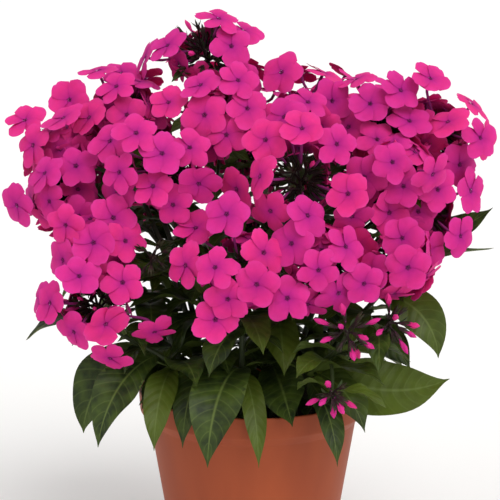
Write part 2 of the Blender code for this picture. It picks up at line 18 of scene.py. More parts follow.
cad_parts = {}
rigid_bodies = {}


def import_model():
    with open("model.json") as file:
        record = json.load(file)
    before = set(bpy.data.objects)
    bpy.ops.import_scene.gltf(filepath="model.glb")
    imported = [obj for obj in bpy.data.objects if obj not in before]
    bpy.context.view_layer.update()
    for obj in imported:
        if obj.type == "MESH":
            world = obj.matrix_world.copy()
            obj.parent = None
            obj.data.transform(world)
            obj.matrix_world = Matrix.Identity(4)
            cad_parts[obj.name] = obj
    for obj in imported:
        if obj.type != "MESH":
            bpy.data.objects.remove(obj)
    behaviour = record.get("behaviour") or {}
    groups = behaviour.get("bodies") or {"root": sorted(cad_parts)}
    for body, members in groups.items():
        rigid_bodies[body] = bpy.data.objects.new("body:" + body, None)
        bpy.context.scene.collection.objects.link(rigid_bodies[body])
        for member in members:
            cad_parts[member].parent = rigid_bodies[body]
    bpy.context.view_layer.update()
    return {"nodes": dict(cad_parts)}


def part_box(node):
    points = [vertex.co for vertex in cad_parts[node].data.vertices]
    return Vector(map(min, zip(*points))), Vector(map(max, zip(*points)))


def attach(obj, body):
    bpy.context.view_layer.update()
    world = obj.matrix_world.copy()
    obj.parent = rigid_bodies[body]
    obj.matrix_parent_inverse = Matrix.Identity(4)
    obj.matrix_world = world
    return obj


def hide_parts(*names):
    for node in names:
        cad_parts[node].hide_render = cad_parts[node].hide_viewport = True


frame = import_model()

bl_info = {
    "name": "Potted Phlox",
    "version": (1, 0, 0),
    "blender": (4, 5, 0),
    "location": "3D View > Sidebar > Phlox",
    "description": "Grows a garden phlox in its pot over the packed solids",
    "category": "Add Mesh",
}

MM = 0.001
UP = Vector((0, 0, 1))
GOLDEN_ANGLE = 137.508
SEED = 11

# The plan of the plant, in millimetres and degrees. Heads: name, middle, where the head
# looks, and the degrees round its axis where florets have fallen and bare calyxes are left
HEADS = (
    ("top", (-35, 10, 410), (0, 50), 30),
    ("left_top", (-100, 0, 364), (-25, 55), 0),
    ("left_shoulder", (-142, -8, 342), (-50, 40), 0),
    ("left", (-143, -28, 306), (-35, 10), 0),
    ("left_low", (-112, -62, 275), (-15, 10), 0),
    ("centre_left", (-65, -52, 330), (-5, 25), 0),
    ("centre_top", (-25, -22, 362), (0, 50), 0),
    ("crown", (36, -2, 360), (10, 50), 0),
    ("crown_right", (96, -5, 353), (0, 50), 0),
    ("right_top", (139, -5, 352), (40, 40), 0),
    ("right_mid", (110, -45, 328), (5, 20), 0),
    ("right", (126, -35, 298), (40, 20), 0),
    ("right_low", (108, -65, 264), (15, 5), 0),
    ("dome", (35, -65, 325), (0, 12), 38),
    ("dome_low", (52, -88, 272), (15, 5), 0),
    ("front", (-8, -85, 260), (0, 15), 0),
    ("low_left", (-115, -72, 233), (-15, 5), 0),
    ("rear_left_high", (-92, 50, 350), (-140, 50), 0),
    ("rear_top", (-14, 54, 362), (180, 55), 0),
    ("rear_right_high", (56, 52, 358), (150, 50), 0),
    ("rear_right", (126, 48, 322), (120, 35), 0),
    ("rear_right_top", (98, 34, 350), (120, 60), 0),
    ("rear_left", (-140, 40, 312), (-120, 25), 0),
    ("rear_low_left", (-82, 108, 288), (-155, 20), 0),
    ("rear_middle", (-8, 116, 322), (180, 30), 0),
    ("rear_low_right", (68, 112, 298), (155, 25), 0),
    ("rear_side", (116, 72, 278), (105, 15), 0),
    ("rear_low", (2, 122, 246), (178, 10), 0),
    ("side_left", (-116, 52, 250), (-95, 10), 0),
)

# Sprays: name, middle, axis, spread, buds in all, length, and whether their buds are pink
SPRAYS = (
    ("buds_right", (68, -112, 222), (10, 0), 100, 11, 24, True),
    ("buds_far_right", (100, -92, 224), (40, 0), 95, 9, 24, True),
    ("buds_drooping", (57, -124, 180), (0, -40), 90, 8, 20, True),
    ("calyxes_left", (-74, -82, 272), (-5, 0), 75, 9, 18, False),
)

# Stems: name, foot on the soil, and what each carries with the share of the main stem's
# length where its branch leaves, 1 for the main stem's own end
STEMS = (
    ("top", (-22, 8), (("top", 1), ("centre_top", 0.62))),
    ("left_top", (-44, 6), (("left_top", 1), ("left_shoulder", 0.6))),
    ("left", (-52, -14), (("left", 1), ("left_low", 0.55))),
    ("low_left", (-42, -38), (("low_left", 1),)),
    ("centre_left", (-24, -24), (("centre_left", 1), ("calyxes_left", 0.5))),
    ("crown", (12, 0), (("crown", 1),)),
    ("front", (-8, -48), (("front", 1),)),
    ("dome", (12, -28), (("dome", 1), ("dome_low", 0.5))),
    ("crown_right", (34, 8), (("crown_right", 1), ("right_mid", 0.6))),
    ("right_top", (54, 6), (("right_top", 1), ("right", 0.6))),
    ("right", (50, -20), (("right_low", 1),)),
    ("buds", (32, -50), (("buds_right", 1), ("buds_far_right", 0.55), ("buds_drooping", 0.7))),
    ("rear_left", (-42, 32), (("rear_left_high", 1), ("rear_left", 0.6))),
    ("rear_top", (-8, 30), (("rear_top", 1), ("rear_middle", 0.6))),
    ("rear_right_high", (24, 34), (("rear_right_high", 1), ("rear_low_right", 0.55))),
    ("rear_right", (50, 32), (("rear_right_top", 1), ("rear_right", 0.6), ("rear_side", 0.45))),
    ("rear_low", (-10, 56), (("rear_low", 1), ("rear_low_left", 0.5))),
    ("side_left", (-60, 20), (("side_left", 1),)),
)
GAP = 0.3 * MM
SOIL_TOP = 134.0 * MM
HOLE_DEPTH = 30.0 * MM
STEM_STRAIGHT = 5.0 * MM
STEM_STEPS = 5
FINE_STEPS = 18
BRANCH_STEPS = 9
STEM_PULL = 0.42
CORE_RADIUS = 9.0 * MM
SPRAY_CORE = 4.0 * MM

# Large leaves: stem, height where each leaves it, azimuth, length, width, elevation at the
# root and at the tip, and roll about the midrib
LARGE_LEAVES = (
    ("front", 178, -18, 112, 40, 20, -88, 0),
    ("front", 176, 12, 92, 18, 0, -88, 0),
    ("low_left", 186, -38, 96, 34, 0, -80, -20),
    ("low_left", 192, -72, 86, 40, -15, -88, -50),
    ("low_left", 176, -12, 84, 24, 5, -86, 0),
    ("centre_left", 182, -20, 100, 26, 10, -88, 0),
    ("dome", 176, 22, 88, 36, -5, -30, 25),
    ("buds", 172, 22, 84, 21, 0, -84, 0),
    ("buds", 184, 80, 104, 44, -32, 27, 60),
    ("buds", 180, 45, 68, 26, 0, -70, 20),
    ("right", 234, 62, 74, 31, 4, -88, 55),
    ("right_top", 268, 80, 94, 27, -8, 41, 50),
    ("right_top", 246, 86, 104, 17, 10, 6, 15),
    ("right", 212, 46, 62, 26, -10, -50, 40),
    ("left", 262, -60, 40, 15, 0, -60, 0),
    ("front", 212, -28, 62, 26, 10, -65, 0),
    ("dome", 214, 4, 66, 27, -5, -60, 0),
    ("top", 372, 95, 26, 12, 20, -30, 0),
    ("left_top", 348, -60, 26, 12, 20, -20, 0),
    ("right_top", 322, 10, 34, 12, 10, -20, 0),
    ("crown_right", 322, -25, 34, 12, 10, -20, 0),
)
# The other leaves of the solids: opposite pairs, each pair a quarter turn from the last
PAIR_HEIGHTS = (174, 218)
PAIR_STEP = 2.5
PAIR_LENGTH = 78.0
PAIR_SHORTER = 12.0
PAIR_WIDTH_SHARE = 0.38
PAIR_RISE = 22.0
PAIR_FALL = -48.0
# How a leaf of the solids may have been turned, tilted and made smaller to find its room
LEAF_TURNS = (0, 12, -12, 24, -24, 38, -38)
LEAF_SCALES = (1.0, 0.85, 0.7, 0.55)
LEAF_TILTS = (0, 18, -18)

# The blade of a leaf: steps along it, columns across it and the rise of its fold
LEAF_STEPS = 24
LEAF_COLUMNS = 8
LEAF_FOLD = 0.22
LEAF_TWIST = 12
LEAF_WAVES = 2.1
WAVED_WIDTH = 24 * MM
MOST_WAVE = 1.2
LEAF_STALK = 1.1
LEAF_TIP = 0.12
GROOVE_DEPTH = 0.35 * MM
GROOVE_WIDTH = 1.2 * MM
MIDRIB_WIDTH = 1.1 * MM
VEIN_SWEEP = 1.5

# The smaller leaves further up, which only this script has
SMALL_LEAF_FIRST = 40.0 * MM
SMALL_LEAF_STEP = 21.0 * MM
SMALL_LEAF_LAST = 14.0 * MM
SMALL_LEAF_TWIST = 2.2
SMALL_LEAF_COLUMNS = 6
SMALL_LEAF_LOWEST = SOIL_TOP + 8 * MM
SMALL_LEAF_LENGTH = 64
SMALL_LEAF_SHORTER = 26
SMALL_LEAF_SCALES = (1.0, 0.8, 0.62, 0.48)
SMALL_LEAF_TURNS = (0, 22, -22, 44, -44)
ROOM_CELL = 8.0 * MM
ROOM_CLASHES = 4
ROOM_CLEARANCE = 2.2 * MM
SAME_POINT = 0.1 * MM

# What a floret is in the solids: a throat with this many points round it
FLORET_POINTS = 20
PETALS = 5
MERGE_DISTANCE = 0.01 * MM

# A petal's rows, as the place along it and the share of its width, and its columns
PETAL_ROWS = ((0.0, 0.17), (0.2, 0.54), (0.45, 0.84), (0.76, 1.0), (1.0, 0.66))
PETAL_COLUMNS = (-1.0, -0.76, -0.38, 0.0, 0.38, 0.76, 1.0)
FLORET_LENGTH = 18.5 * MM
PETAL_SHORTER_EDGE = 0.15
PETAL_CROWN = 0.6 * MM
PETAL_CUP = 0.25 * MM
PETAL_GROOVE = 0.3 * MM
FUNNEL_SIDES = 8
ANTHERS = 3
ANTHER = 0.32 * MM

# How many kinds of each shape there are to pick from
FLORET_VARIANTS = 10
BUD_VARIANTS = 4
CLOSED_CALYXES = 3
OPEN_CALYXES = 3
CALYX_VARIANTS = CLOSED_CALYXES + OPEN_CALYXES
BRACT_VARIANTS = 3

# How a head is set with florets, in degrees and metres. A bare patch is wider deep inside
HEAD_BRANCHLETS = (9, 7.5 * MM)
SPRAY_BRANCHLETS = (4, 3.5 * MM)
BRANCHLET_SPREAD = 105
INNER_SPREAD = 108
INNER_CALYX = 0.55
BARE_DEEPER = 48
BARE_EXTRA = 16
CLEAR_OF_FLORETS = 21
CLEAR_OF_INNER = 26
CALYX_CLEARANCE = 14
TURNED_FURTHER = 3
TUBE_FOOT = 2.2 * MM
BUD_TIP_OVER_CALYX = 17.0 * MM
# Florets deep in a head: how far they lean, their distance in millimetres and their size
INNER_LEAN = 0.35
INNER_REACH = (20, 25)
INNER_SIZE = (0.72, 0.92)
# Calyxes without a floret: distance in millimetres and the share of them that holds a bud
BARE_CALYXES = ((12, 25), 0.2)
HIDDEN_CALYXES = ((9, 16), 0.45)
BUD_OVER_CALYX = 2 * MM
BUD_SIZE = (0.6, 0.95)

# How finely the pot and the soil are turned, and the humps as (width, share of the height)
SHARP_EDGE = 50
POT_SHARP_EDGE = 40
POT_SIDES = 128
DRAINS = 4
DRAIN_SIDES = 32
INNER_SHOULDER = 1.5 * MM
SOIL_SIDES = 72
SOIL_RINGS = 16
SOIL_FOOT_SHARE = 0.745
SOIL_SLOPE = 10 * MM
HUMPS = ((14 * MM, 0.6), (5 * MM, 0.3))

# Lamps: name, azimuth and elevation, and how wide each one shines. Where the camera looks
LAMPS = (("key", 35, 48), ("fill", -55, 30))
LAMP_WIDTH = 50
TARGET = (-2, 0, 260)

# What each point of a seedling says: its label, kind and field
POINT_FIELDS = (
    ("bears", "BOOLEAN", "value"),
    ("turn", "FLOAT_VECTOR", "vector"),
    ("size", "FLOAT", "value"),
    ("variant", "INT", "value"),
    ("thick", "FLOAT", "value"),
    ("reach", "FLOAT", "value"),
)


def linear(code):
    """An sRGB hex colour as the linear colour that Blender works in."""
    channels = [int(code[k:k + 2], 16) / 255 for k in (1, 3, 5)]
    return [c / 12.92 if c <= 0.04045 else ((c + 0.055) / 1.055) ** 2.4 for c in channels]


def length(name, millimetres, what):
    """A size that the user can change."""
    return FloatProperty(name=name, description=what, default=millimetres * MM, unit="LENGTH")


def angle(name, degrees, what):
    """An angle that the user can change."""
    return FloatProperty(name=name, description=what, default=math.radians(degrees),
                         subtype="ANGLE")


def number(name, value, what, subtype="NONE"):
    """A plain number that the user can change."""
    return FloatProperty(name=name, description=what, default=value, subtype=subtype)


def tint(name, code, what):
    """A colour that the user can change."""
    return FloatVectorProperty(name=name, description=what, default=linear(code), size=3,
                               subtype="COLOR", min=0, max=1)


class PhloxFloretSettings(bpy.types.PropertyGroup):
    """The corollas: five petals on a slender tube."""
    petal_width: length("Petal width", 16.8, "Width of a petal at its widest")
    petal_thickness: length("Petal thickness", 0.4, "Thickness of a petal at its middle")
    curl: length("Curl", 1.3, "How far a petal's tip bends back")
    overlap: length("Overlap", 0.4, "How far one edge of a petal stands over the next petal")
    pitch: angle("Pitch", 12, "How far a petal may turn about its own middle line")
    tilt: angle("Tilt", 16, "How far a floret may lean away from its solid's facing")
    turned_away: number("Turned away", 0.22, "Share that leans three times as far", "FACTOR")
    mouth: length("Mouth", 1.2, "Radius of the throat's mouth")
    tube: length("Tube", 1.15, "Radius of the corolla's tube")
    bud_length: length("Bud length", 17.5, "Length of a closed bud")
    bud_radius: length("Bud radius", 2.1, "Radius of a closed bud at its widest")
    petal_colour: tint("Petal", "#d52b7b", "Colour of the open petals")
    rim_colour: tint("Petal rim", "#da3384", "Colour of the petals' outer rim")
    flush_colour: tint("Flush", "#b01c78", "Purple flush round the throat")
    # Painted shade: the eye colour fills the throat's shallow floor in place of the dark deep
    # tube, and darkens the petals' foot round it
    eye_colour: tint("Eye", "#5c0a42", "Dark eye at the mouth of the throat")
    tube_colour: tint("Tube", "#8a2a70", "Colour of the tube")
    pollen_colour: tint("Pollen", "#b8447e", "Anthers in the throat")


class PhloxPanicleSettings(bpy.types.PropertyGroup):
    """The branchlets of the heads, their calyxes and closed buds."""
    calyx_at: length("Calyx place", 14.0, "Distance of a floret's calyx from its head's middle")
    calyx_length: length("Calyx length", 9.5, "Length of a calyx with its teeth")
    calyx_radius: length("Calyx radius", 1.7, "Radius of a calyx at its mouth")
    tooth_width: length("Tooth width", 2.2, "Width of a calyx's tooth at its foot")
    tooth_spread: length("Tooth spread", 3.2, "How far the teeth stand out at their tips")
    bract_length: length("Bract", 12.0, "Length of the small leaf under each branchlet")
    stalk: length("Stalk", 0.7, "Radius of a floret's stalk")
    extra: IntProperty(name="Extra calyxes", description="Bare calyxes in a head", default=26)
    inner: IntProperty(name="Inner florets", description="Places deep in a head", default=22)
    stalk_colour: tint("Stalk", "#2c1c1c", "Colour of the branchlets")
    cup_colour: tint("Calyx", "#30181f", "Colour of a calyx's cup")
    tooth_colour: tint("Teeth", "#2e2e1c", "Colour of a calyx's teeth")
    bract_colour: tint("Bract", "#2b3a1a", "Colour of the small leaves in a head")


class PhloxLeafSettings(bpy.types.PropertyGroup):
    """The leaves and the stems that they stand on."""
    thickness: length("Blade thickness", 0.6, "Thickness of a blade beside its midrib")
    midrib: length("Midrib", 0.8, "How far the midrib stands out below")
    wave: length("Wave", 2.4, "Height of the waves along a blade's edge")
    vein_spacing: length("Vein spacing", 8.5, "Distance of the side veins along the midrib")
    foot_radius: length("Stem foot", 2.6, "Radius of a stem where it leaves the soil")
    top_radius: length("Stem top", 1.7, "Radius of a stem below its head")
    branch_radius: length("Branch", 1.5, "Radius of a branch")
    upper_colour: tint("Upper side", "#3a4a17", "Colour of a leaf's upper side")
    dark_colour: tint("Darker patches", "#1b270f", "Darker patches of the upper side")
    fresh_colour: tint("Fresh leaf", "#56641a", "Colour of the younger leaves")
    under_colour: tint("Underside", "#4c5a26", "Colour of a leaf's underside")
    vein_colour: tint("Veins", "#5f6e35", "Colour of the midrib and the side veins")
    stem_colour: tint("Stem", "#2f3a1a", "Colour of the stems")
    stem_flush: tint("Stem flush", "#351f22", "Purple flush up the stems")


class PhloxPotSettings(bpy.types.PropertyGroup):
    """The moulded pot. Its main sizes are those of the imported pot."""
    rim_band: length("Rim band", 16.0, "Height of the band round the rim")
    shoulder_drop: length("Shoulder drop", 8.0, "Height of the slope under the rim band")
    shoulder_radius: length("Shoulder radius", 82.0, "Radius of the wall under the shoulder")
    foot_radius: length("Foot radius", 61.0, "Radius of the foot")
    rim_taper: length("Rim taper", 1.0, "How much narrower the band is at its lower edge")
    wall: length("Wall", 2.6, "Thickness of the wall")
    floor: length("Floor", 3.5, "Thickness of the floor")
    rounding: length("Rounding", 1.1, "Radius of the moulded edges")
    drain_radius: length("Drain radius", 6.0, "Radius of a drainage hole")
    drain_ring: length("Drain ring", 36.0, "Radius of the circle of drainage holes")
    plastic_colour: tint("Plastic", "#9b4a2a", "Colour of the pot")
    shade_colour: tint("Plastic shade", "#8d4126", "Darker tone of the pot")


class PhloxSoilSettings(bpy.types.PropertyGroup):
    """The peat in the pot."""
    crumb: length("Crumb", 1.7, "Radius of a large crumb")
    unevenness: length("Unevenness", 1.8, "Height of the humps in the surface")
    crumbs_per_square_metre: number("Crumb density", 90000, "Crumbs on a square metre")
    peat_colour: tint("Peat", "#2a1d15", "Colour of the moist peat")
    fibre_colour: tint("Fibre", "#5b432e", "Colour of its drier fibres")


class PhloxStageSettings(bpy.types.PropertyGroup):
    """The floor, the lamps and the camera."""
    floor_size: length("Floor", 80000.0, "Side of the floor")
    distance: length("Distance", 1300.0, "Distance of the camera from what it looks at")
    lens: number("Lens", 120.0, "Focal length of the camera", "DISTANCE_CAMERA")
    elevation: angle("Elevation", 11, "How far the camera looks down")
    key: number("Key lamp", 1.8, "Strength of the soft lamp at the front right")
    fill: number("Fill lamp", 0.3, "Strength of the soft lamp at the front left")
    sky: number("Sky", 0.7, "Brightness of the surroundings", "FACTOR")
    floor_colour: tint("Floor", "#f6f5f3", "Colour of the floor")


class PhloxSettings(bpy.types.PropertyGroup):
    """Everything that the user can change."""
    floret: PointerProperty(type=PhloxFloretSettings, name="Florets", description="Petals")
    panicle: PointerProperty(type=PhloxPanicleSettings, name="Panicles", description="Calyxes")
    leaf: PointerProperty(type=PhloxLeafSettings, name="Leaves", description="Leaves and stems")
    pot: PointerProperty(type=PhloxPotSettings, name="Pot", description="The moulded pot")
    soil: PointerProperty(type=PhloxSoilSettings, name="Soil", description="The peat")
    stage: PointerProperty(type=PhloxStageSettings, name="Stage", description="Lamps, camera")


# Node trees

def feed(tree, socket, value):
    """Sets a socket, or links it to a node, a socket or each of a list of them."""
    for one in value if isinstance(value, list) else [value]:
        if isinstance(one, bpy.types.Node):
            one = next(output for output in one.outputs if output.enabled)
        if isinstance(one, bpy.types.NodeSocket):
            tree.links.new(one, socket)
        else:
            socket.default_value = (*one, 1) if socket.type == "RGBA" else one


def add(tree, kind, inputs=None, stops=None, **settings):
    """Adds a node with its settings, inputs by name or number and a ramp's stops."""
    node = tree.nodes.new(kind)
    for name, value in settings.items():
        setattr(node, name, value)
    for key, value in (inputs or {}).items():
        socket = node.inputs[key] if isinstance(key, int) else next(
            entry for entry in node.inputs if entry.name == key and entry.enabled
        )
        feed(tree, socket, value)
    if stops:
        elements = node.color_ramp.elements
        elements[0].position = stops[0][0]
        elements[-1].position = stops[-1][0]
        for place, _ in stops[1:-1]:
            elements.new(place)
        for element, (_, tone) in zip(elements, stops):
            element.color = (*tone, 1)
    return node


def new_tree(name, sockets):
    """A geometry tree with its named inputs, as (name, kind) or (name, kind, default)."""
    tree = bpy.data.node_groups.new(name, "GeometryNodeTree")
    for label, kind, *default in (("Geometry", "Geometry"), *sockets):
        socket = tree.interface.new_socket(label, in_out="INPUT", socket_type="NodeSocket" + kind)
        if default:
            socket.default_value = default[0]
    tree.interface.new_socket("Geometry", in_out="OUTPUT", socket_type="NodeSocketGeometry")
    return tree, partial(add, tree), tree.nodes.new("NodeGroupInput").outputs


def finish_tree(put, geometry, material):
    """Ends a tree: instances made real, shaded smooth, with their material."""
    real = put("GeometryNodeRealizeInstances", {"Geometry": geometry})
    smooth = put("GeometryNodeSetShadeSmooth", {"Geometry": real})
    done = put("GeometryNodeSetMaterial", {"Geometry": smooth, "Material": material})
    put("NodeGroupOutput", {"Geometry": done})


def sprig_tree():
    """Shapes on the points that are marked as bearing one, and stalks along the edges."""
    tree, put, given = new_tree("Shapes on stalks", (
        ("Shapes", "Collection"),
        ("Shape Scale", "Float", 1.0),
        ("Stalk Sides", "Int", 6),
        ("Stalk Scale", "Float", 1.0),
        ("Shade Seed", "Int", 0),
        ("Material", "Material"),
    ))
    read = {
        name: put("GeometryNodeInputNamedAttribute", {"Name": name}, data_type=kind)
        for name, kind, _ in POINT_FIELDS
    }
    scaled = {
        name: put("ShaderNodeMath", {0: read[name], 1: given[scale]}, operation="MULTIPLY")
        for name, scale in (("size", "Shape Scale"), ("thick", "Stalk Scale"))
    }
    shapes = put("GeometryNodeCollectionInfo", {
        "Collection": given["Shapes"], "Separate Children": True, "Reset Children": True,
    })
    borne = put("GeometryNodeInstanceOnPoints", {
        "Points": given["Geometry"], "Selection": read["bears"], "Instance": shapes,
        "Pick Instance": True, "Instance Index": read["variant"], "Scale": scaled["size"],
        "Rotation": put("FunctionNodeEulerToRotation", {"Euler": read["turn"]}),
    })
    shade = put("FunctionNodeRandomValue", {"Seed": given["Shade Seed"]}, data_type="FLOAT")
    shaded = put("GeometryNodeStoreNamedAttribute", {
        "Geometry": borne, "Name": "shade", "Value": shade,
    }, data_type="FLOAT", domain="INSTANCE")
    ring = put("GeometryNodeCurvePrimitiveCircle", {
        "Resolution": given["Stalk Sides"], "Radius": 1.0,
    })
    stalks = put("GeometryNodeCurveToMesh", {
        "Curve": put("GeometryNodeMeshToCurve", {"Mesh": given["Geometry"]}),
        "Profile Curve": ring, "Scale": scaled["thick"], "Fill Caps": True,
    })
    marked = put("GeometryNodeStoreNamedAttribute", {
        "Geometry": stalks, "Name": "along", "Value": read["reach"],
    }, data_type="FLOAT", domain="POINT")
    joined = put("GeometryNodeJoinGeometry", {"Geometry": [shaded, marked]})
    finish_tree(put, joined, given["Material"])
    return tree


def crumb_tree():
    """Crumbs of peat over what faces up, each turned and sized by chance."""
    tree, put, given = new_tree("Crumbs of peat", (
        ("Crumb Radius", "Float", 1.5 * MM),
        ("Crumbs per Square Metre", "Float", 60000.0),
        ("Seed", "Int", 0),
        ("Material", "Material"),
    ))
    facing = put("ShaderNodeSeparateXYZ", {0: put("GeometryNodeInputNormal")})
    level = put("ShaderNodeMath", {0: facing.outputs["Z"], 1: 0.6}, operation="GREATER_THAN")
    spread = put("GeometryNodeDistributePointsOnFaces", {
        "Mesh": given["Geometry"], "Selection": level,
        "Density": given["Crumbs per Square Metre"], "Seed": given["Seed"],
    })
    turn, size = (
        put("FunctionNodeRandomValue", {"Min": low, "Max": high, "Seed": given["Seed"]},
            data_type="FLOAT_VECTOR")
        for low, high in (((0, 0, 0), (math.tau, math.tau, math.tau)),
                          ((0.25, 0.2, 0.15), (1.0, 0.8, 0.6)))
    )
    scaled = put("ShaderNodeVectorMath", {0: size, "Scale": given["Crumb Radius"]},
                 operation="SCALE")
    crumbs = put("GeometryNodeInstanceOnPoints", {
        "Points": spread, "Rotation": turn, "Scale": scaled,
        "Instance": put("GeometryNodeMeshIcoSphere", {"Radius": 1.0, "Subdivisions": 1}),
    })
    joined = put("GeometryNodeJoinGeometry", {"Geometry": [given["Geometry"], crumbs]})
    finish_tree(put, joined, given["Material"])
    return tree


def grow(name, seedling, tree, inputs):
    """Runs a tree on an object and keeps what it gives as a plain mesh of its own."""
    modifier = seedling.modifiers.new("Growth", "NODES")
    modifier.node_group = tree
    for item in tree.interface.items_tree:
        if item.in_out == "INPUT" and item.name in inputs:
            modifier[item.identifier] = inputs[item.name]
    graph = bpy.context.evaluated_depsgraph_get()
    mesh = bpy.data.meshes.new_from_object(seedling.evaluated_get(graph))
    seedling.modifiers.clear()
    bpy.data.objects.remove(seedling)
    if not mesh.polygons:
        raise RuntimeError(name + " came out with no faces")
    for spent, *_ in POINT_FIELDS:
        if spent in mesh.attributes:
            mesh.attributes.remove(mesh.attributes[spent])
    mesh.name = name
    return show(name, mesh)


# Meshes

def show(name, data):
    """Puts a mesh, a lamp or a camera into the scene as an object at the origin."""
    piece = bpy.data.objects.new(name, data)
    bpy.context.scene.collection.objects.link(piece)
    return piece


def fit(piece, slot, node):
    """Fixes a finished piece to the part, in the place of the node that it stands for."""
    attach(piece, "root")
    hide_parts(node)


def make_mesh(name, points, faces, on_points=None, on_faces=None, closed=True):
    """A mesh with its numbers on points and faces, its faces turned outward."""
    mesh = bpy.data.meshes.new(name)
    mesh.from_pydata([tuple(point) for point in points], [], faces)
    for numbers, domain in ((on_points or {}, "POINT"), (on_faces or {}, "FACE")):
        for label, values in numbers.items():
            mesh.attributes.new(label, "FLOAT", domain).data.foreach_set("value", values)
    if closed:
        outward = bmesh.new()
        outward.from_mesh(mesh)
        bmesh.ops.recalc_face_normals(outward, faces=outward.faces)
        outward.to_mesh(mesh)
        outward.free()
    mesh.shade_smooth()
    mesh.set_sharp_from_angle(angle=math.radians(SHARP_EDGE))
    return mesh


def lathe(profile, sides):
    """Points and faces of a profile of (radius, height) turned round Z, from axis to axis."""
    points = []
    rings = []
    for radius, height in profile:
        count = sides if radius else 1
        rings.append(range(len(points), len(points) + count))
        for k in range(count):
            turn = math.tau * k / sides
            points.append(Vector((radius * math.cos(turn), radius * math.sin(turn), height)))
    faces = []
    for low, high in zip(rings, rings[1:]):
        for k in range(sides):
            ring = [low[k % len(low)], low[(k + 1) % len(low)]]
            ring += [high[(k + 1) % len(high)], high[k % len(high)]]
            faces.append(list(dict.fromkeys(ring)))
    return points, faces


def rounded(profile, radius, steps=4):
    """A profile with its corners rounded, apart from its first and last point."""
    corners = [Vector(point) for point in profile]
    points = [corners[0]]
    for before, corner, after in zip(corners, corners[1:], corners[2:]):
        cut = min(radius, (before - corner).length * 0.45, (after - corner).length * 0.45)
        start = corner + (before - corner).normalized() * cut
        end = corner + (after - corner).normalized() * cut
        for k in range(steps + 1):
            t = k / steps
            points.append(start * (1 - t) ** 2 + corner * (2 * t * (1 - t)) + end * t ** 2)
    points.append(corners[-1])
    return [(max(point.x, 0), point.y) for point in points]


class Blades:
    """Collects thin closed blades, each a grid whose two sides meet all round its edge."""

    def __init__(self, *labels):
        self.points = []
        self.faces = []
        self.on_points = {label: [] for label in labels}
        self.under = []

    def add_point(self, point, numbers):
        self.points.append(point)
        for values, one in zip(self.on_points.values(), numbers):
            values.append(one)
        return len(self.points) - 1

    def add_grid(self, grid):
        """Each row and column gives an upper point, a lower point and its numbers."""
        rows = len(grid)
        columns = len(grid[0])
        top = {}
        bottom = {}
        for r, row in enumerate(grid):
            for c, (upper, lower, numbers) in enumerate(row):
                top[r, c] = bottom[r, c] = self.add_point(upper, numbers)
                if 0 < r < rows - 1 and 0 < c < columns - 1:
                    bottom[r, c] = self.add_point(lower, numbers)
        for r in range(rows - 1):
            for c in range(columns - 1):
                corners = ((r, c), (r, c + 1), (r + 1, c + 1), (r + 1, c))
                self.faces.append([top[k] for k in corners])
                self.faces.append([bottom[k] for k in reversed(corners)])
                self.under += [0.0, 1.0]

    def add_shape(self, points, faces, numbers):
        """A closed shape whose faces count its own points from 0."""
        start = len(self.points)
        for point, row in zip(points, numbers):
            self.add_point(point, row)
        self.faces += [[start + k for k in face] for face in faces]
        self.under += [0.0] * len(faces)

    def add_lathed(self, profile, alongs, sides, change=None):
        """A small turned shape, with how far along it each ring is."""
        points, faces = lathe(profile, sides)
        numbers = []
        for (radius, _), along in zip(profile, alongs):
            numbers += [(along, 0.0)] * (sides if radius else 1)
        self.add_shape(change(points) if change else points, faces, numbers)

    def piece(self, name):
        return show(name, make_mesh(name, self.points, self.faces, self.on_points,
                                    {"under": self.under}))


# The plan of the stems and the leaves

def direction(azimuth, elevation):
    """The unit vector at an azimuth and an elevation in degrees."""
    turn = math.radians(azimuth)
    lift = math.radians(elevation)
    level = math.cos(lift)
    return Vector((math.sin(turn) * level, -math.cos(turn) * level, math.sin(lift)))


def sides_of(axis):
    """Two unit vectors square to an axis, so that first x second points along it."""
    first = UP.cross(axis)
    if first.length < 0.05:
        first = Vector((1, 0, 0)).cross(axis)
    first.normalize()
    return first, axis.cross(first)


def spiral(axis, spread, count):
    """Ways that stand round an axis on a golden spiral, out to spread degrees."""
    first, second = sides_of(axis)
    for k in range(count):
        polar = math.radians(spread * math.sqrt((k + 0.5) / count))
        turn = math.radians(k * GOLDEN_ANGLE)
        level = first * math.cos(turn) + second * math.sin(turn)
        yield axis * math.cos(polar) + level * math.sin(polar)


def curve_between(start, start_way, end, end_way, steps):
    """Points on a smooth curve that leaves start and reaches end along the two ways."""
    pull = (end - start).length * STEM_PULL
    b = start + start_way * pull
    c = end - end_way * pull
    points = []
    for k in range(steps + 1):
        t = k / steps
        s = 1 - t
        points.append(start * s**3 + b * (3 * s * s * t) + c * (3 * s * t * t) + end * t**3)
    return points


def plan_stems():
    """For each stem its path in the solids, and the finer paths of its main stem and branches."""
    ends = {name: (Vector(middle) * MM, look, CORE_RADIUS) for name, middle, look, _ in HEADS}
    for name, middle, look, *_ in SPRAYS:
        ends[name] = (Vector(middle) * MM, look, SPRAY_CORE)
    plan = {}
    for name, foot, carried in STEMS:
        start = Vector((*foot, 0)) * MM + UP * (SOIL_TOP - HOLE_DEPTH + GAP)
        above = start + UP * (HOLE_DEPTH + STEM_STRAIGHT)
        coarse = None
        fine = []
        for end_name, leaves_at in carried:
            hub, look, core = ends[end_name]
            way = (direction(*look) + UP).normalized()
            end = hub - way * (core + 2 * GAP)
            if coarse is None:
                coarse = [start, *curve_between(above, UP, end, way, STEM_STEPS - 1)]
                fine.append([start, *curve_between(above, UP, end, way, FINE_STEPS), hub])
                continue
            spot = leaves_at * (len(coarse) - 1)
            k = int(spot)
            fork = coarse[k].lerp(coarse[k + 1], spot - k)
            fork_way = (coarse[k + 1] - coarse[k]).normalized()
            root = min(fine[0], key=lambda point: (point - fork).length)
            fine.append([*curve_between(root, fork_way, end, way, BRANCH_STEPS), hub])
        plan[name] = (coarse, fine)
    return plan


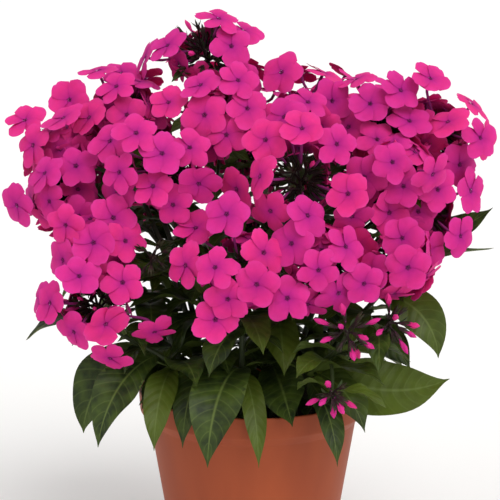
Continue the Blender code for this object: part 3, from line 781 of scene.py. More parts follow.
def point_at(path, height):
    """Where a path passes a height, or None above its top."""
    for low, high in zip(path, path[1:]):
        if low.z <= height <= high.z:
            return low.lerp(high, (height - low.z) / (high.z - low.z))
    return None


def leaf_path(root, azimuth, reach, rise, fall):
    """Points, directions and left side of a midrib whose slope goes from rise to fall."""
    points = [root.copy()]
    ways = []
    for k in range(LEAF_STEPS):
        slope = rise + (fall - rise) * (k + 0.5) / LEAF_STEPS
        ways.append(direction(azimuth, slope))
        points.append(points[-1] + ways[-1] * (reach / LEAF_STEPS))
    ways.append(ways[-1])
    return points, ways, UP.cross(direction(azimuth, 0))


def plan_leaves(plan):
    """The leaves that the solids have, by stem, each with the place that it found there."""
    wanted = list(LARGE_LEAVES)
    for place, stem in enumerate(plan):
        for level, height in enumerate(PAIR_HEIGHTS):
            for side in range(2):
                azimuth = place * GOLDEN_ANGLE + level * 90 + side * 180
                reach = PAIR_LENGTH - PAIR_SHORTER * level
                wanted.append((stem, height + side * PAIR_STEP, azimuth, reach,
                               reach * PAIR_WIDTH_SHARE, PAIR_RISE, PAIR_FALL, 0))
    corners = {stem: corners_of("stem_" + stem) for stem in plan}
    leaves = {stem: [] for stem in plan}
    for stem, height, azimuth, reach, width, rise, fall, roll in wanted:
        root = point_at(plan[stem][0], height * MM)
        if root is None:
            continue
        found = next((
            (azimuth + turn, reach * scale, width * scale, rise + tilt, fall + tilt)
            for scale in LEAF_SCALES for tilt in LEAF_TILTS for turn in LEAF_TURNS
            if corners[stem].find(leaf_path(root, azimuth + turn, reach * scale * MM,
                                            rise + tilt, fall + tilt)[0][-1])[2] < SAME_POINT
        ), None)
        if found:
            leaves[stem].append((root, *found, roll))
    return leaves


class Leaf:
    """One leaf: a pointed blade, folded a little at its midrib and waved at its edge."""

    def __init__(self, start, azimuth, reach, width, rise, fall, roll, draw):
        self.path, self.ways, self.left = leaf_path(start, azimuth, reach, rise, fall)
        self.reach = reach
        self.width = width
        self.roll = roll
        self.twist = draw.uniform(-LEAF_TWIST, LEAF_TWIST)
        self.phase = draw.random()
        self.shade = draw.random()

    def half_width(self, t):
        """The blade's half width, t of the way along it."""
        half = self.width / 2 * math.sin(math.pi * min(t, 1) ** 0.92) ** (0.8 + 0.6 * t**4)
        return max(half, (LEAF_STALK * (1 - t) + LEAF_TIP) * MM)

    def sides(self, t):
        """The midrib's point, t of the way along it, and the ways across and above there."""
        k = round(t * LEAF_STEPS)
        across = Quaternion(self.ways[k], math.radians(self.roll + self.twist * t)) @ self.left
        return self.path[k], across, self.ways[k].cross(across)

    def samples(self):
        """Points spread over the blade, to see whether it has room."""
        for t in (0.3, 0.45, 0.6, 0.75, 0.9, 1.0):
            middle, across, _ = self.sides(t)
            out = across * self.half_width(t) * 0.8
            yield from (middle, middle + out, middle - out)

    def add_to(self, blades, rows, columns, settings):
        grid = []
        for r in range(rows + 1):
            t = r / rows
            middle, across, above = self.sides(t)
            half = self.half_width(t)
            wave = settings.wave * min(self.width / WAVED_WIDTH, MOST_WAVE)
            wave *= math.sin(math.pi * t)
            grid.append([])
            for c in range(columns + 1):
                u = 2 * c / columns - 1
                out = half * u
                lift = LEAF_FOLD * half * abs(u) ** 1.25
                turn = math.tau * (LEAF_WAVES * t + self.phase + 0.22 * u)
                lift += wave * math.sin(turn) * u * u
                lift -= GROOVE_DEPTH * math.exp(-((out / GROOVE_WIDTH) ** 2)) * (1 - t)
                point = middle + across * out + above * lift
                rib = settings.midrib * math.exp(-((out / MIDRIB_WIDTH) ** 2)) * (1 - 0.7 * t)
                arch = t * self.reach / settings.vein_spacing - VEIN_SWEEP * abs(u) ** 1.3
                grid[-1].append((point, point - above * (settings.thickness + rib),
                                 (t, u, arch, self.shade)))
        blades.add_grid(grid)


class Room:
    """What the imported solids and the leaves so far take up."""

    def __init__(self):
        points = []
        faces = []
        for node in frame["nodes"].values():
            start = len(points)
            points += [vertex.co.copy() for vertex in node.data.vertices]
            faces += [[start + k for k in face.vertices] for face in node.data.polygons]
        self.solids = BVHTree.FromPolygons(points, faces)
        self.cells = set()

    def cell(self, point):
        return tuple(math.floor(side / ROOM_CELL) for side in point)

    def has(self, leaf):
        samples = list(leaf.samples())
        clashes = sum(self.cell(point) in self.cells for point in samples)
        return clashes <= ROOM_CLASHES and all(
            (self.solids.find_nearest(point)[3] or 1) > ROOM_CLEARANCE for point in samples
        )

    def take(self, leaf):
        self.cells.update(self.cell(point) for point in leaf.samples())


def corners_of(node):
    """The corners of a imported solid, to look up which point is there."""
    vertices = frame["nodes"][node].data.vertices
    corners = KDTree(len(vertices))
    for k, vertex in enumerate(vertices):
        corners.insert(vertex.co, k)
    corners.balance()
    return corners


def florets_of(node):
    """Throat, facing, the way of one petal and radius of each floret of a packed head."""
    solid = bmesh.new()
    solid.from_mesh(frame["nodes"][node].data)
    bmesh.ops.remove_doubles(solid, verts=solid.verts, dist=MERGE_DISTANCE)
    florets = []
    for vert in solid.verts:
        if len(vert.link_edges) != FLORET_POINTS:
            continue
        throat = vert.co.copy()
        facing = sum((face.normal for face in vert.link_faces), Vector()).normalized()
        rim = [edge.other_vert(vert).co - throat for edge in vert.link_edges]
        notch = min(rim, key=lambda out: out.length)
        petal = Quaternion(facing, math.pi / PETALS) @ notch
        petal = (petal - facing * petal.dot(facing)).normalized()
        florets.append((throat, facing, petal, max(out.length for out in rim)))
    solid.free()
    if not florets:
        raise RuntimeError(node + " shows no floret")
    return florets


# Materials

def new_material(name, *labels):
    """A material, a way to add to its tree, its Object coordinates and some attributes."""
    material = bpy.data.materials.new(name)
    material.use_nodes = True
    put = partial(add, material.node_tree)
    place = put("ShaderNodeTexCoord").outputs["Object"]
    read = [put("ShaderNodeAttribute", attribute_name=label).outputs["Fac"] for label in labels]
    return material, put, place, *read


def dress(material, sockets):
    """Ends a material with what goes into the sockets of its Principled shader."""
    shader = material.node_tree.nodes["Principled BSDF"]
    for name, value in sockets.items():
        feed(material.node_tree, shader.inputs[name], value)
    return material


def patches(put, place, across, detail, start, end, first, second, roughness=0.5):
    """Two tones in patches of a size, and the noise that parts them."""
    field = put("ShaderNodeTexNoise", {
        "Vector": place, "Scale": 1 / across, "Detail": detail, "Roughness": roughness,
    }).outputs["Fac"]
    spread = put("ShaderNodeMapRange", {"Value": field, "From Min": start, "From Max": end})
    tones = put("ShaderNodeMix", {"Factor": spread, "A": first, "B": second}, data_type="RGBA")
    return field, tones


def petal_tissue(settings):
    """Phlox petal: soft, matt and saturated, with a violet flush into a dark eye, which is
    painted shade where it fills the throat's shallow floor.
    """
    material, put, spot, along, across, shade = new_material(
        "phlox_petal_tissue", "along", "across", "shade")
    place = put("ShaderNodeMapRange", {"Value": along, "From Min": -1.0, "From Max": 1.0})
    petal = put("ShaderNodeValToRGB", {"Fac": place}, stops=(
        (0.0, settings.pollen_colour),
        (0.06, settings.pollen_colour),
        # Painted shade: the eye colour on the throat's floor stands for the shade down the deep
        # tube
        (0.1, settings.eye_colour),
        (0.3, settings.eye_colour),
        (0.35, settings.tube_colour),
        (0.47, settings.tube_colour),
        (0.5, settings.eye_colour),
        (0.53, settings.flush_colour),
        (0.64, [0.5 * (a + b) for a, b in zip(settings.flush_colour, settings.petal_colour)]),
        (0.8, settings.petal_colour),
        (1.0, settings.rim_colour),
    ))
    # Fine veins run out along each petal, about 0.7 mm apart at its widest
    ribs = put("ShaderNodeMath", {0: across, 1: 12.5}, operation="MULTIPLY")
    rib = put("ShaderNodeMath", {0: ribs, 1: 0.5}, operation="PINGPONG")
    veins = put("ShaderNodeMapRange", {
        "Value": rib, "From Min": 0.0, "From Max": 0.35, "To Min": 0.95, "To Max": 1.0,
    })
    # Each floret is of its own age: older ones are a little deeper and more violet
    hue, value = (
        put("ShaderNodeMapRange", {"Value": shade, "To Min": young, "To Max": old})
        for young, old in ((0.502, 0.484), (1.03, 0.86))
    )
    aged = put("ShaderNodeHueSaturation", {"Hue": hue, "Value": value, "Color": petal})
    # Soft mottling about 6 mm across
    mottle = put("ShaderNodeTexNoise", {"Vector": spot, "Scale": 1 / (6 * MM), "Detail": 3.0})
    tone = put("ShaderNodeMapRange", {
        "Value": mottle.outputs["Fac"], "From Min": 0.3, "From Max": 0.7,
        "To Min": 0.93, "To Max": 1.04,
    })
    depth = put("ShaderNodeMath", {0: veins, 1: tone}, operation="MULTIPLY")
    return dress(material, {
        "Base Color": put("ShaderNodeVectorMath", {0: aged, "Scale": depth}, operation="SCALE"),
        "Normal": put("ShaderNodeBump", {
            "Strength": 0.25, "Distance": 0.15 * MM, "Height": veins,
        }),
        "Roughness": 0.7,
        "Specular IOR Level": 0.12,
        "Subsurface Weight": 0.25,
        "Subsurface Radius": (1.0, 0.25, 0.7),
        "Subsurface Scale": 0.8 * MM,
    })


def calyx_tissue(settings):
    """Calyx and branchlet: dark purple green, a little glossy, browner at the teeth's tips."""
    material, put, spot, along, across, shade = new_material(
        "phlox_calyx_tissue", "along", "across", "shade")
    place = put("ShaderNodeMapRange", {"Value": along, "From Min": -1.0, "From Max": 1.0})
    body = put("ShaderNodeValToRGB", {"Fac": place}, stops=(
        (0.0, settings.stalk_colour),
        (0.45, settings.stalk_colour),
        (0.6, settings.cup_colour),
        (0.8, settings.tooth_colour),
        (1.0, settings.stalk_colour),
    ))
    leafy = put("ShaderNodeMix", {"Factor": across, "A": body, "B": settings.bract_colour},
                data_type="RGBA")
    # Streaks about 1.5 mm across, and a shade of its own for each calyx
    streaks = put("ShaderNodeTexNoise", {"Vector": spot, "Scale": 1 / (1.5 * MM), "Detail": 2.0})
    lightness = put("ShaderNodeMath", {
        k: put("ShaderNodeMapRange", {"Value": source, "To Min": low, "To Max": high})
        for k, (source, low, high) in enumerate((
            (streaks.outputs["Fac"], 0.5, 1.6), (shade, 0.75, 1.4)))
    }, operation="MULTIPLY")
    return dress(material, {
        "Base Color": put("ShaderNodeVectorMath", {0: leafy, "Scale": lightness},
                          operation="SCALE"),
        "Roughness": 0.5,
        "Specular IOR Level": 0.2,
    })


def leaf_blade_tissue(settings):
    """Phlox leaf: dark satin green above, paler below, with arching side veins."""
    material, put, place, across, arch, shade, under = new_material(
        "phlox_leaf_cuticle", "across", "arch", "shade", "under")
    # Patches of deeper green about 12 mm across
    field, tone = patches(put, place, 12 * MM, 4.0, 0.35, 0.65,
                          settings.dark_colour, settings.upper_colour)
    youth = put("ShaderNodeMapRange", {
        "Value": shade, "From Min": 0.45, "From Max": 1.0, "To Max": 0.6,
    })
    between = put("ShaderNodeMath", {0: arch, 1: 0.5}, operation="PINGPONG")
    aside = put("ShaderNodeMath", {0: across}, operation="ABSOLUTE")
    side_vein, midrib = (
        put("ShaderNodeMapRange", {
            "Value": away, "From Max": wide, "To Min": strength, "To Max": 0.0,
        })
        for away, wide, strength in ((between, 0.1, 0.3), (aside, 0.08, 0.8))
    )
    ribbed = put("ShaderNodeMath", {0: side_vein, 1: midrib}, operation="MAXIMUM")
    below = put("ShaderNodeMath", {0: under, 1: 0.75}, operation="MULTIPLY")
    for share, colour in ((youth, settings.fresh_colour), (ribbed, settings.vein_colour),
                          (below, settings.under_colour)):
        tone = put("ShaderNodeMix", {"Factor": share, "A": tone, "B": colour},
                   data_type="RGBA")
    # The blade puffs up between its side veins, and has a fine grain of about 0.6 mm
    puff = put("ShaderNodeMapRange", {
        "Value": between, "From Max": 0.5, "To Min": 0.0, "To Max": 1.0,
    }, interpolation_type="SMOOTHSTEP")
    grain = put("ShaderNodeTexNoise", {"Vector": place, "Scale": 1 / (0.6 * MM), "Detail": 2.0})
    relief = put("ShaderNodeMath", {0: grain.outputs["Fac"], 1: 0.15, 2: puff},
                 operation="MULTIPLY_ADD")
    return dress(material, {
        "Base Color": tone,
        "Normal": put("ShaderNodeBump", {
            "Strength": 0.35, "Distance": 0.7 * MM, "Height": relief,
        }),
        "Roughness": put("ShaderNodeMapRange", {"Value": field, "To Min": 0.55, "To Max": 0.4}),
        "Specular IOR Level": 0.22,
    })


def stem_tissue(settings):
    """Phlox stem: green at the foot with a purple flush higher up, and a satin skin."""
    material, put, place = new_material("phlox_stem_tissue")
    # The flush sets in about 60 mm above the soil and is full 160 mm higher
    flush = put("ShaderNodeMapRange", {
        "Value": put("ShaderNodeSeparateXYZ", {"Vector": place}).outputs["Z"],
        "From Min": SOIL_TOP + 60 * MM, "From Max": SOIL_TOP + 220 * MM,
    })
    # Streaks about 4 mm across
    streaks = put("ShaderNodeTexNoise", {
        "Vector": place, "Scale": 1 / (4 * MM), "Detail": 3.0,
    }).outputs["Fac"]
    mixed = put("ShaderNodeMath", {0: streaks, 1: flush}, operation="MULTIPLY")
    share = put("ShaderNodeMath", {0: mixed, 1: 1.7}, operation="MULTIPLY", use_clamp=True)
    return dress(material, {
        "Base Color": put("ShaderNodeMix", {
            "Factor": share, "A": settings.stem_colour, "B": settings.stem_flush,
        }, data_type="RGBA"),
        "Normal": put("ShaderNodeBump", {
            "Strength": 0.3, "Distance": 0.2 * MM, "Height": streaks,
        }),
        "Roughness": 0.5,
    })


def moulded_polypropylene(settings):
    """Injection-moulded polypropylene: terracotta-coloured, satin, with a fine matt grain."""
    material, put, place = new_material("moulded_polypropylene")
    # The melt's flow leaves soft upright streaks about 25 mm wide
    drawn = put("ShaderNodeMapping", {"Vector": place, "Scale": (1.0, 1.0, 0.25)})
    flow, colour = patches(put, drawn, 25 * MM, 2.0, 0.3, 0.7,
                           settings.shade_colour, settings.plastic_colour)
    # Spark-eroded grain: the real one is about 0.1 mm, drawn at 0.5 mm so that it shows
    grain = put("ShaderNodeTexNoise", {"Vector": place, "Scale": 1 / (0.5 * MM), "Detail": 2.0})
    return dress(material, {
        "Base Color": colour,
        "Normal": put("ShaderNodeBump", {
            "Strength": 0.12, "Distance": 0.1 * MM, "Height": grain.outputs["Fac"],
        }),
        "Roughness": put("ShaderNodeMapRange", {"Value": flow, "To Min": 0.5, "To Max": 0.6}),
        "IOR": 1.49,
        "Specular IOR Level": 0.2,
    })


def moist_peat(settings):
    """Peat substrate: dark and matt where moist, with drier brown fibres."""
    material, put, place = new_material("moist_peat_substrate")
    # Fibres and crumbs about 2.5 mm across
    fibres, colour = patches(put, place, 2.5 * MM, 5.0, 0.52, 0.72,
                             settings.peat_colour, settings.fibre_colour, roughness=0.7)
    return dress(material, {
        "Base Color": colour,
        "Normal": put("ShaderNodeBump", {
            "Strength": 0.7, "Distance": 0.8 * MM, "Height": fibres,
        }),
        "Roughness": 0.92,
        "Specular IOR Level": 0.2,
    })


def painted_floor(settings):
    """Pale matt studio floor with a faint unevenness in its sheen, about 330 mm across."""
    material, put, place = new_material("matt_studio_floor")
    mottle = put("ShaderNodeTexNoise", {"Vector": place, "Scale": 3.0}).outputs["Fac"]
    return dress(material, {
        "Base Color": settings.floor_colour,
        "Roughness": put("ShaderNodeMapRange", {"Value": mottle, "To Min": 0.7, "To Max": 0.85}),
    })


# Shapes that repeat

def add_petal(blades, settings, azimuth, width, bend, draw):
    """One obovate petal, one edge over its neighbour's and its tip bent back."""
    reach = FLORET_LENGTH * draw.uniform(0.9, 1.03)
    half = settings.petal_width / 2 * width * draw.uniform(0.9, 1.08)
    curl = settings.curl * (bend + draw.uniform(-1.7, 1.7))
    pitch = math.tan(settings.pitch) * draw.uniform(-1, 1)
    over = settings.overlap * draw.uniform(0.2, 2.6)
    notch = draw.choice((0.0, 0.0, 0.5, 1.0)) * MM
    sway = draw.uniform(-1.1, 1.1) * MM
    turn = Matrix.Rotation(math.radians(azimuth + draw.uniform(-6, 6)), 3, "Z")
    grid = []
    for v, share in PETAL_ROWS:
        grid.append([])
        for u in PETAL_COLUMNS:
            end = reach * (1 - PETAL_SHORTER_EDGE * abs(u) ** 2.6)
            end -= notch * math.exp(-((u / 0.22) ** 2))
            x = settings.mouth + (end - settings.mouth) * v
            y = half * share * u + sway * v * v
            z = PETAL_CROWN * math.sin(math.pi * min(v * 1.2, 1)) - curl * v ** 2.2
            z += over * u * math.sin(math.pi * min(0.15 + v * 0.75, 1))
            z += pitch * y * v
            z -= PETAL_CUP * u * u * v
            z -= PETAL_GROOVE * math.exp(-((u / 0.25) ** 2)) * (1 - v)
            point = Vector((x, y, z))
            grid[-1].append((turn @ point, turn @ (point - UP * settings.petal_thickness),
                             (v, u)))
    blades.add_grid(grid)


def floret_shape(name, settings, draw):
    """An open floret round Z: five petals, the throat's funnel and three anthers."""
    blades = Blades("along", "across")
    width = draw.uniform(0.82, 1.08)
    bend = draw.uniform(-1.2, 2.4)
    for petal in range(PETALS):
        add_petal(blades, settings, petal * 360 / PETALS, width, bend, draw)
    mouth = settings.mouth
    # The funnel's floor inside the mouth takes the eye colour, painted shade for the deep tube
    # that the real floret has there
    funnel = ((0, -1.6 * MM), (mouth * 0.62, -1.0 * MM), (mouth, 0.2 * MM),
              (mouth * 1.35, -0.5 * MM), (mouth, -2.6 * MM), (0, -2.8 * MM))
    blades.add_lathed(funnel, (-0.5, -0.5, 0.02, -0.1, -0.2, -0.2), FUNNEL_SIDES)
    for k in range(ANTHERS):
        turn = math.radians(120 * k + draw.uniform(0, 60))
        spot = Vector((math.cos(turn), math.sin(turn), 0)) * (mouth * 0.45)
        height = draw.uniform(-0.4, 0.2) * MM
        blades.add_lathed(((0, -ANTHER), (ANTHER, 0), (0, ANTHER * 1.6)), (-1.0, -1.0, -1.0), 4,
                          lambda points: [point + spot + UP * height for point in points])
    return blades.piece(name)


def bud_shape(name, settings, draw):
    """A closed bud up Z: a slender tube that swells into petals twisted to a point."""
    blades = Blades("along", "across")
    reach = settings.bud_length * draw.uniform(0.85, 1.1)
    radius = settings.bud_radius * draw.uniform(0.85, 1.1)
    rings = ((0.0, 0.4, -0.3), (0.25, 0.45, -0.1), (0.42, 0.62, 0.45), (0.58, 0.92, 0.6),
             (0.72, 1.0, 0.75), (0.87, 0.66, 0.9))
    profile = [(0, 0)] + [(radius * wide, reach * at) for at, wide, _ in rings] + [(0, reach)]
    sides = 2 * PETALS

    def twisted(points):
        for k in range(1, len(points) - 1):
            ring, side = divmod(k - 1, sides)
            groove = 1 + (0.12 if side % 2 else -0.1) * min(ring / 3, 1)
            level = Vector((points[k].x, points[k].y, 0)) * groove
            turn = Matrix.Rotation(math.radians(22 * ring), 3, "Z")
            points[k] = turn @ level + UP * points[k].z
        return points

    alongs = [-0.3] + [along for *_, along in rings] + [1.0]
    blades.add_lathed(profile, alongs, sides, twisted)
    return blades.piece(name)


def calyx_shape(name, settings, draw, opening):
    """A calyx up Z: a narrow cup with five long pointed teeth, opened by a share between."""
    blades = Blades("along", "across")
    reach = settings.calyx_length * draw.uniform(0.85, 1.1)
    radius = settings.calyx_radius * draw.uniform(0.9, 1.1)
    cup = ((0, -0.6 * MM), (radius * 0.6, -0.3 * MM), (radius, reach * 0.25),
           (radius * 1.05, reach * 0.45), (0, reach * 0.3))
    blades.add_lathed(cup, (-0.2, 0.0, 0.2, 0.35, 0.2), PETALS)
    opened = draw.uniform(*opening)
    half_width = settings.tooth_width / 2
    for tooth in range(PETALS):
        turn = math.radians(72 * tooth + draw.uniform(-8, 8))
        out = Vector((math.cos(turn), math.sin(turn), 0))
        side = Vector((-math.sin(turn), math.cos(turn), 0))
        spread = settings.tooth_spread * opened * draw.uniform(0.8, 1.2)
        points = []
        for away, up, wide in ((radius * 0.75, reach * 0.36, half_width),
                               ((radius + spread) * 0.52, reach * 0.68, half_width * 0.7)):
            middle = out * away + UP * up
            points += [middle + side * wide, middle - side * wide, middle + out * wide * 0.55]
        points.append(out * spread + UP * reach * draw.uniform(0.92, 1.08))
        faces = [[2, 1, 0]]
        for k, after in ((0, 1), (1, 2), (2, 0)):
            faces += [[k, after, 3 + after, 3 + k], [3 + k, 3 + after, 6]]
        blades.add_shape(points, faces,
                         [(0.3, 0.0)] * 3 + [(0.65, 0.0)] * 3 + [(1.0, 0.0)])
    return blades.piece(name)


def bract_shape(name, settings, draw):
    """A small pointed leaf up Z that bends away towards X."""
    blades = Blades("along", "across")
    reach = settings.bract_length * draw.uniform(0.8, 1.15)
    bow = draw.uniform(0.25, 0.6)
    grid = []
    for t, wide in ((0.0, 0.25), (0.25, 0.8), (0.5, 1.0), (0.78, 0.6), (1.0, 0.05)):
        middle = Vector((bow * t * t, 0, t - 0.2 * t * t)) * reach
        out = Vector((0, reach * 0.16 * wide, 0))
        fold = Vector((reach * 0.05 * wide, 0, 0))
        grid.append([(point, point + Vector((0.4 * MM, 0, -0.2 * MM)), (0.7, 1.0))
                     for point in (middle - out - fold, middle, middle + out - fold)])
    blades.add_grid(grid)
    return blades.piece(name)


def shape_collection(name, makers, settings, draw):
    """A collection of shapes to pick from, which the scene itself doesn't show."""
    collection = bpy.data.collections.new(name)
    for k, maker in enumerate(makers):
        shape = maker(f"{name}_{k:02d}", settings, draw)
        bpy.context.scene.collection.objects.unlink(shape)
        collection.objects.link(shape)
    return collection


def drop_collection(collection):
    for shape in list(collection.objects):
        bpy.data.objects.remove(shape)
    bpy.data.collections.remove(collection)


class Seedling:
    """Points that bear a shape and paths that bear a stalk, for the sprig tree."""

    def __init__(self):
        self.points = []
        self.edges = []
        self.rows = []

    def bear(self, place, axis, first, size, variant):
        """A shape at a place, its Z along axis and its X along first."""
        second = axis.cross(first).normalized()
        turn = Matrix((second.cross(axis), second, axis)).transposed().to_euler()
        self.points.append(place)
        self.rows.append((True, tuple(turn), size, variant, 0.0, 0.0))

    def stalk(self, path, radius, shares, reaches):
        """A stalk with its share of a radius and how far along it is at each point."""
        start = len(self.points)
        self.points += path
        self.edges += [(k, k + 1) for k in range(start, start + len(path) - 1)]
        for share, reach in zip(shares, reaches):
            self.rows.append((False, (0.0, 0.0, 0.0), 1.0, 0, radius * share, reach))

    def object(self):
        mesh = bpy.data.meshes.new("seedling")
        mesh.from_pydata([tuple(point) for point in self.points], self.edges, [])
        for column, (label, kind, field) in enumerate(POINT_FIELDS):
            values = [row[column] for row in self.rows]
            if field == "vector":
                values = [side for value in values for side in value]
            mesh.attributes.new(label, kind, "POINT").data.foreach_set(field, values)
        return show("seedling", mesh)


class Nursery:
    """The shapes, the materials, the tree and the chance that all heads and sprays share."""

    def __init__(self, settings):
        self.floret = settings.floret
        self.panicle = settings.panicle
        self.draw = random.Random(SEED)
        closed = partial(calyx_shape, opening=(0.55, 0.85))
        opened = partial(calyx_shape, opening=(1.1, 1.8))
        self.petals = shape_collection(
            "corolla", [floret_shape] * FLORET_VARIANTS + [bud_shape] * BUD_VARIANTS,
            self.floret, self.draw)
        self.calyxes = shape_collection(
            "calyx", [closed] * CLOSED_CALYXES + [opened] * OPEN_CALYXES
            + [bract_shape] * BRACT_VARIANTS, self.panicle, self.draw)
        self.tree = sprig_tree()
        self.pink = petal_tissue(self.floret)
        self.dark = calyx_tissue(self.panicle)

    def close(self):
        drop_collection(self.petals)
        drop_collection(self.calyxes)


class Sprig:
    """A head or a spray in the making: a seedling for its pink parts and one for the dark."""

    def __init__(self, nursery, middle, look, branchlets, reach):
        self.nursery = nursery
        self.draw = draw = nursery.draw
        self.panicle = nursery.panicle
        self.hub = Vector(middle) * MM
        self.axis = direction(*look)
        self.pink = Seedling()
        self.dark = Seedling()
        # Short branches with a bract each, at whose joints the stalks part
        self.joints = []
        for way in spiral(self.axis, BRANCHLET_SPREAD, branchlets):
            root = self.hub - (self.axis + UP).normalized() * draw.uniform(0, 9) * MM
            joint = self.hub + way * reach * draw.uniform(0.7, 1.3)
            path = curve_between(root, (way + self.axis).normalized(), joint, way, 3)
            self.dark.stalk(path, self.panicle.stalk, (1.9, 1.6, 1.4, 1.3),
                            (-1.0, -0.9, -0.8, -0.7))
            self.dark.bear(joint, way, self.turned(way), draw.uniform(0.8, 1.3),
                           CALYX_VARIANTS + draw.randrange(BRACT_VARIANTS))
            self.joints.append((joint, way))

    def turned(self, way):
        """A way square to another, turned round it by chance."""
        return Quaternion(way, self.draw.uniform(0, math.tau)) @ sides_of(way)[0]

    def add_floret(self, way, throat, facing, petal, size, calyx_at):
        """An open floret, the tube that carries it and the calyx that the tube stands in."""
        self.pink.bear(throat, facing, petal, size, self.draw.randrange(FLORET_VARIANTS))
        tube = curve_between(self.hub + way * calyx_at, way, throat - facing * TUBE_FOOT,
                             facing, 6)
        self.pink.stalk(tube, self.nursery.floret.tube, (0.8, 0.85, 0.9, 0.95, 1.0, 1.05, 1.1),
                        (-0.25, -0.25, -0.25, -0.25, -0.2, -0.15, -0.1))
        self.add_calyx(way, calyx_at)

    def add_calyx(self, way, reach, kinds=CALYX_VARIANTS):
        """A calyx on a stalk from the nearest joint, one of the first few kinds."""
        end = self.hub + way * reach
        joint, leave = min(self.joints, key=lambda one: one[1].angle(way))
        self.dark.stalk(curve_between(joint, leave, end, way, 3), self.panicle.stalk,
                        (1.2, 1.0, 1.0, 1.1), (-0.7, -0.6, -0.4, -0.2))
        self.dark.bear(end, way, self.turned(way), self.draw.uniform(0.85, 1.1),
                       self.draw.randrange(kinds))

    def add_bud(self, way, reach, size):
        """A closed bud that stands in its calyx."""
        self.pink.bear(self.hub + way * reach, way, sides_of(way)[0], size,
                       FLORET_VARIANTS + self.draw.randrange(BUD_VARIANTS))

    def finish(self, name, node, slot, seed):
        """Grows both seedlings into the pieces that stand for a node."""
        nursery = self.nursery
        for label, seedling, shapes, material, fills in (
            ("corollas_", self.pink, nursery.petals, nursery.pink, slot),
            ("panicle_", self.dark, nursery.calyxes, nursery.dark, "leaves"),
        ):
            if seedling.points:
                piece = grow(label + name, seedling.object(), nursery.tree, {
                    "Shapes": shapes, "Material": material, "Shade Seed": seed,
                })
                fit(piece, fills, node)


# Operators

class PHLOX_OT_add_heads(bpy.types.Operator):
    """Grow the florets, buds, calyxes and branchlets of every head"""
    bl_idname = "phlox.add_heads"
    bl_label = "Add Flower Heads"

    def execute(self, context):
        nursery = Nursery(context.scene.phlox)
        for seed, (name, middle, look, bare) in enumerate(HEADS):
            head = Sprig(nursery, middle, look, *HEAD_BRANCHLETS)
            self.add_florets(head, florets_of("head_" + name), bare)
            head.finish(name, "head_" + name, "petals", seed)
        for seed, (node, middle, look, *rest) in enumerate(SPRAYS, 100):
            spray = Sprig(nursery, middle, look, *SPRAY_BRANCHLETS)
            self.add_buds(spray, corners_of(node), *rest)
            spray.finish(node, node, "buds", seed)
        nursery.close()
        return {"FINISHED"}

    def add_florets(self, head, florets, bare):
        """A head's florets, those of its solid first, then its bare calyxes and buds."""
        draw, hub, floret, panicle = head.draw, head.hub, head.nursery.floret, head.panicle
        taken = []
        lean = math.tan(floret.tilt)
        for throat, facing, petal, radius in florets:
            way = (throat - hub).normalized()
            taken.append(way)
            first, second = sides_of(facing)
            more = lean * (TURNED_FURTHER if draw.random() < floret.turned_away else 1)
            facing = (facing + first * draw.uniform(-more, more)
                      + second * draw.uniform(-more, more)).normalized()
            petal = (petal - facing * petal.dot(facing)).normalized()
            size = radius / FLORET_LENGTH * draw.uniform(0.9, 1.02)
            head.add_floret(way, throat, facing, petal, size, panicle.calyx_at)
        # Florets deeper in the head, where the outer ones leave a gap
        deep_bare = math.radians(bare + BARE_DEEPER if bare else 0)
        inner = []
        for way in spiral(head.axis, INNER_SPREAD, panicle.inner):
            if way.angle(head.axis) < deep_bare or any(
                way.angle(other) < math.radians(clear)
                for clear, others in ((CLEAR_OF_FLORETS, taken), (CLEAR_OF_INNER, inner))
                for other in others
            ):
                continue
            inner.append(way)
            first, second = sides_of(way)
            aside = (first * draw.uniform(-INNER_LEAN, INNER_LEAN)
                     + second * draw.uniform(-INNER_LEAN, INNER_LEAN))
            facing = (way + aside).normalized()
            petal = facing.cross(first).normalized()
            throat = hub + way * draw.uniform(*INNER_REACH) * MM
            head.add_floret(way, throat, facing, petal, draw.uniform(*INNER_SIZE),
                            panicle.calyx_at * INNER_CALYX)
        for way in spiral(head.axis, INNER_SPREAD, panicle.extra + (BARE_EXTRA if bare else 0)):
            if any(way.angle(other) < math.radians(CALYX_CLEARANCE) for other in taken):
                continue
            is_open = bare and way.angle(head.axis) < deep_bare
            reaches, budding = BARE_CALYXES if is_open else HIDDEN_CALYXES
            reach = draw.uniform(*reaches) * MM
            head.add_calyx(way, reach)
            if draw.random() < budding:
                head.add_bud(way, reach + BUD_OVER_CALYX, draw.uniform(*BUD_SIZE))

    def add_buds(self, spray, corners, spread, count, reach, is_pink):
        """A spray's calyxes, with a bud in three of four, and a few shorter closed calyxes."""
        draw = spray.draw
        tip = SPRAY_CORE / 2 + reach * MM
        base = tip - (BUD_TIP_OVER_CALYX if is_pink else spray.panicle.calyx_length)
        for k, way in enumerate(spiral(spray.axis, spread, count)):
            if corners.find(spray.hub + way * tip)[2] > SAME_POINT:
                continue
            spray.add_calyx(way, base, CLOSED_CALYXES)
            if is_pink and k % 4 != 3:
                spray.add_bud(way, tip - spray.nursery.floret.bud_length,
                              draw.uniform(0.94, 1.06))
        for way in spiral(spray.axis, spread, count // 2):
            spray.add_calyx(way, draw.uniform(5, 10) * MM, CLOSED_CALYXES)


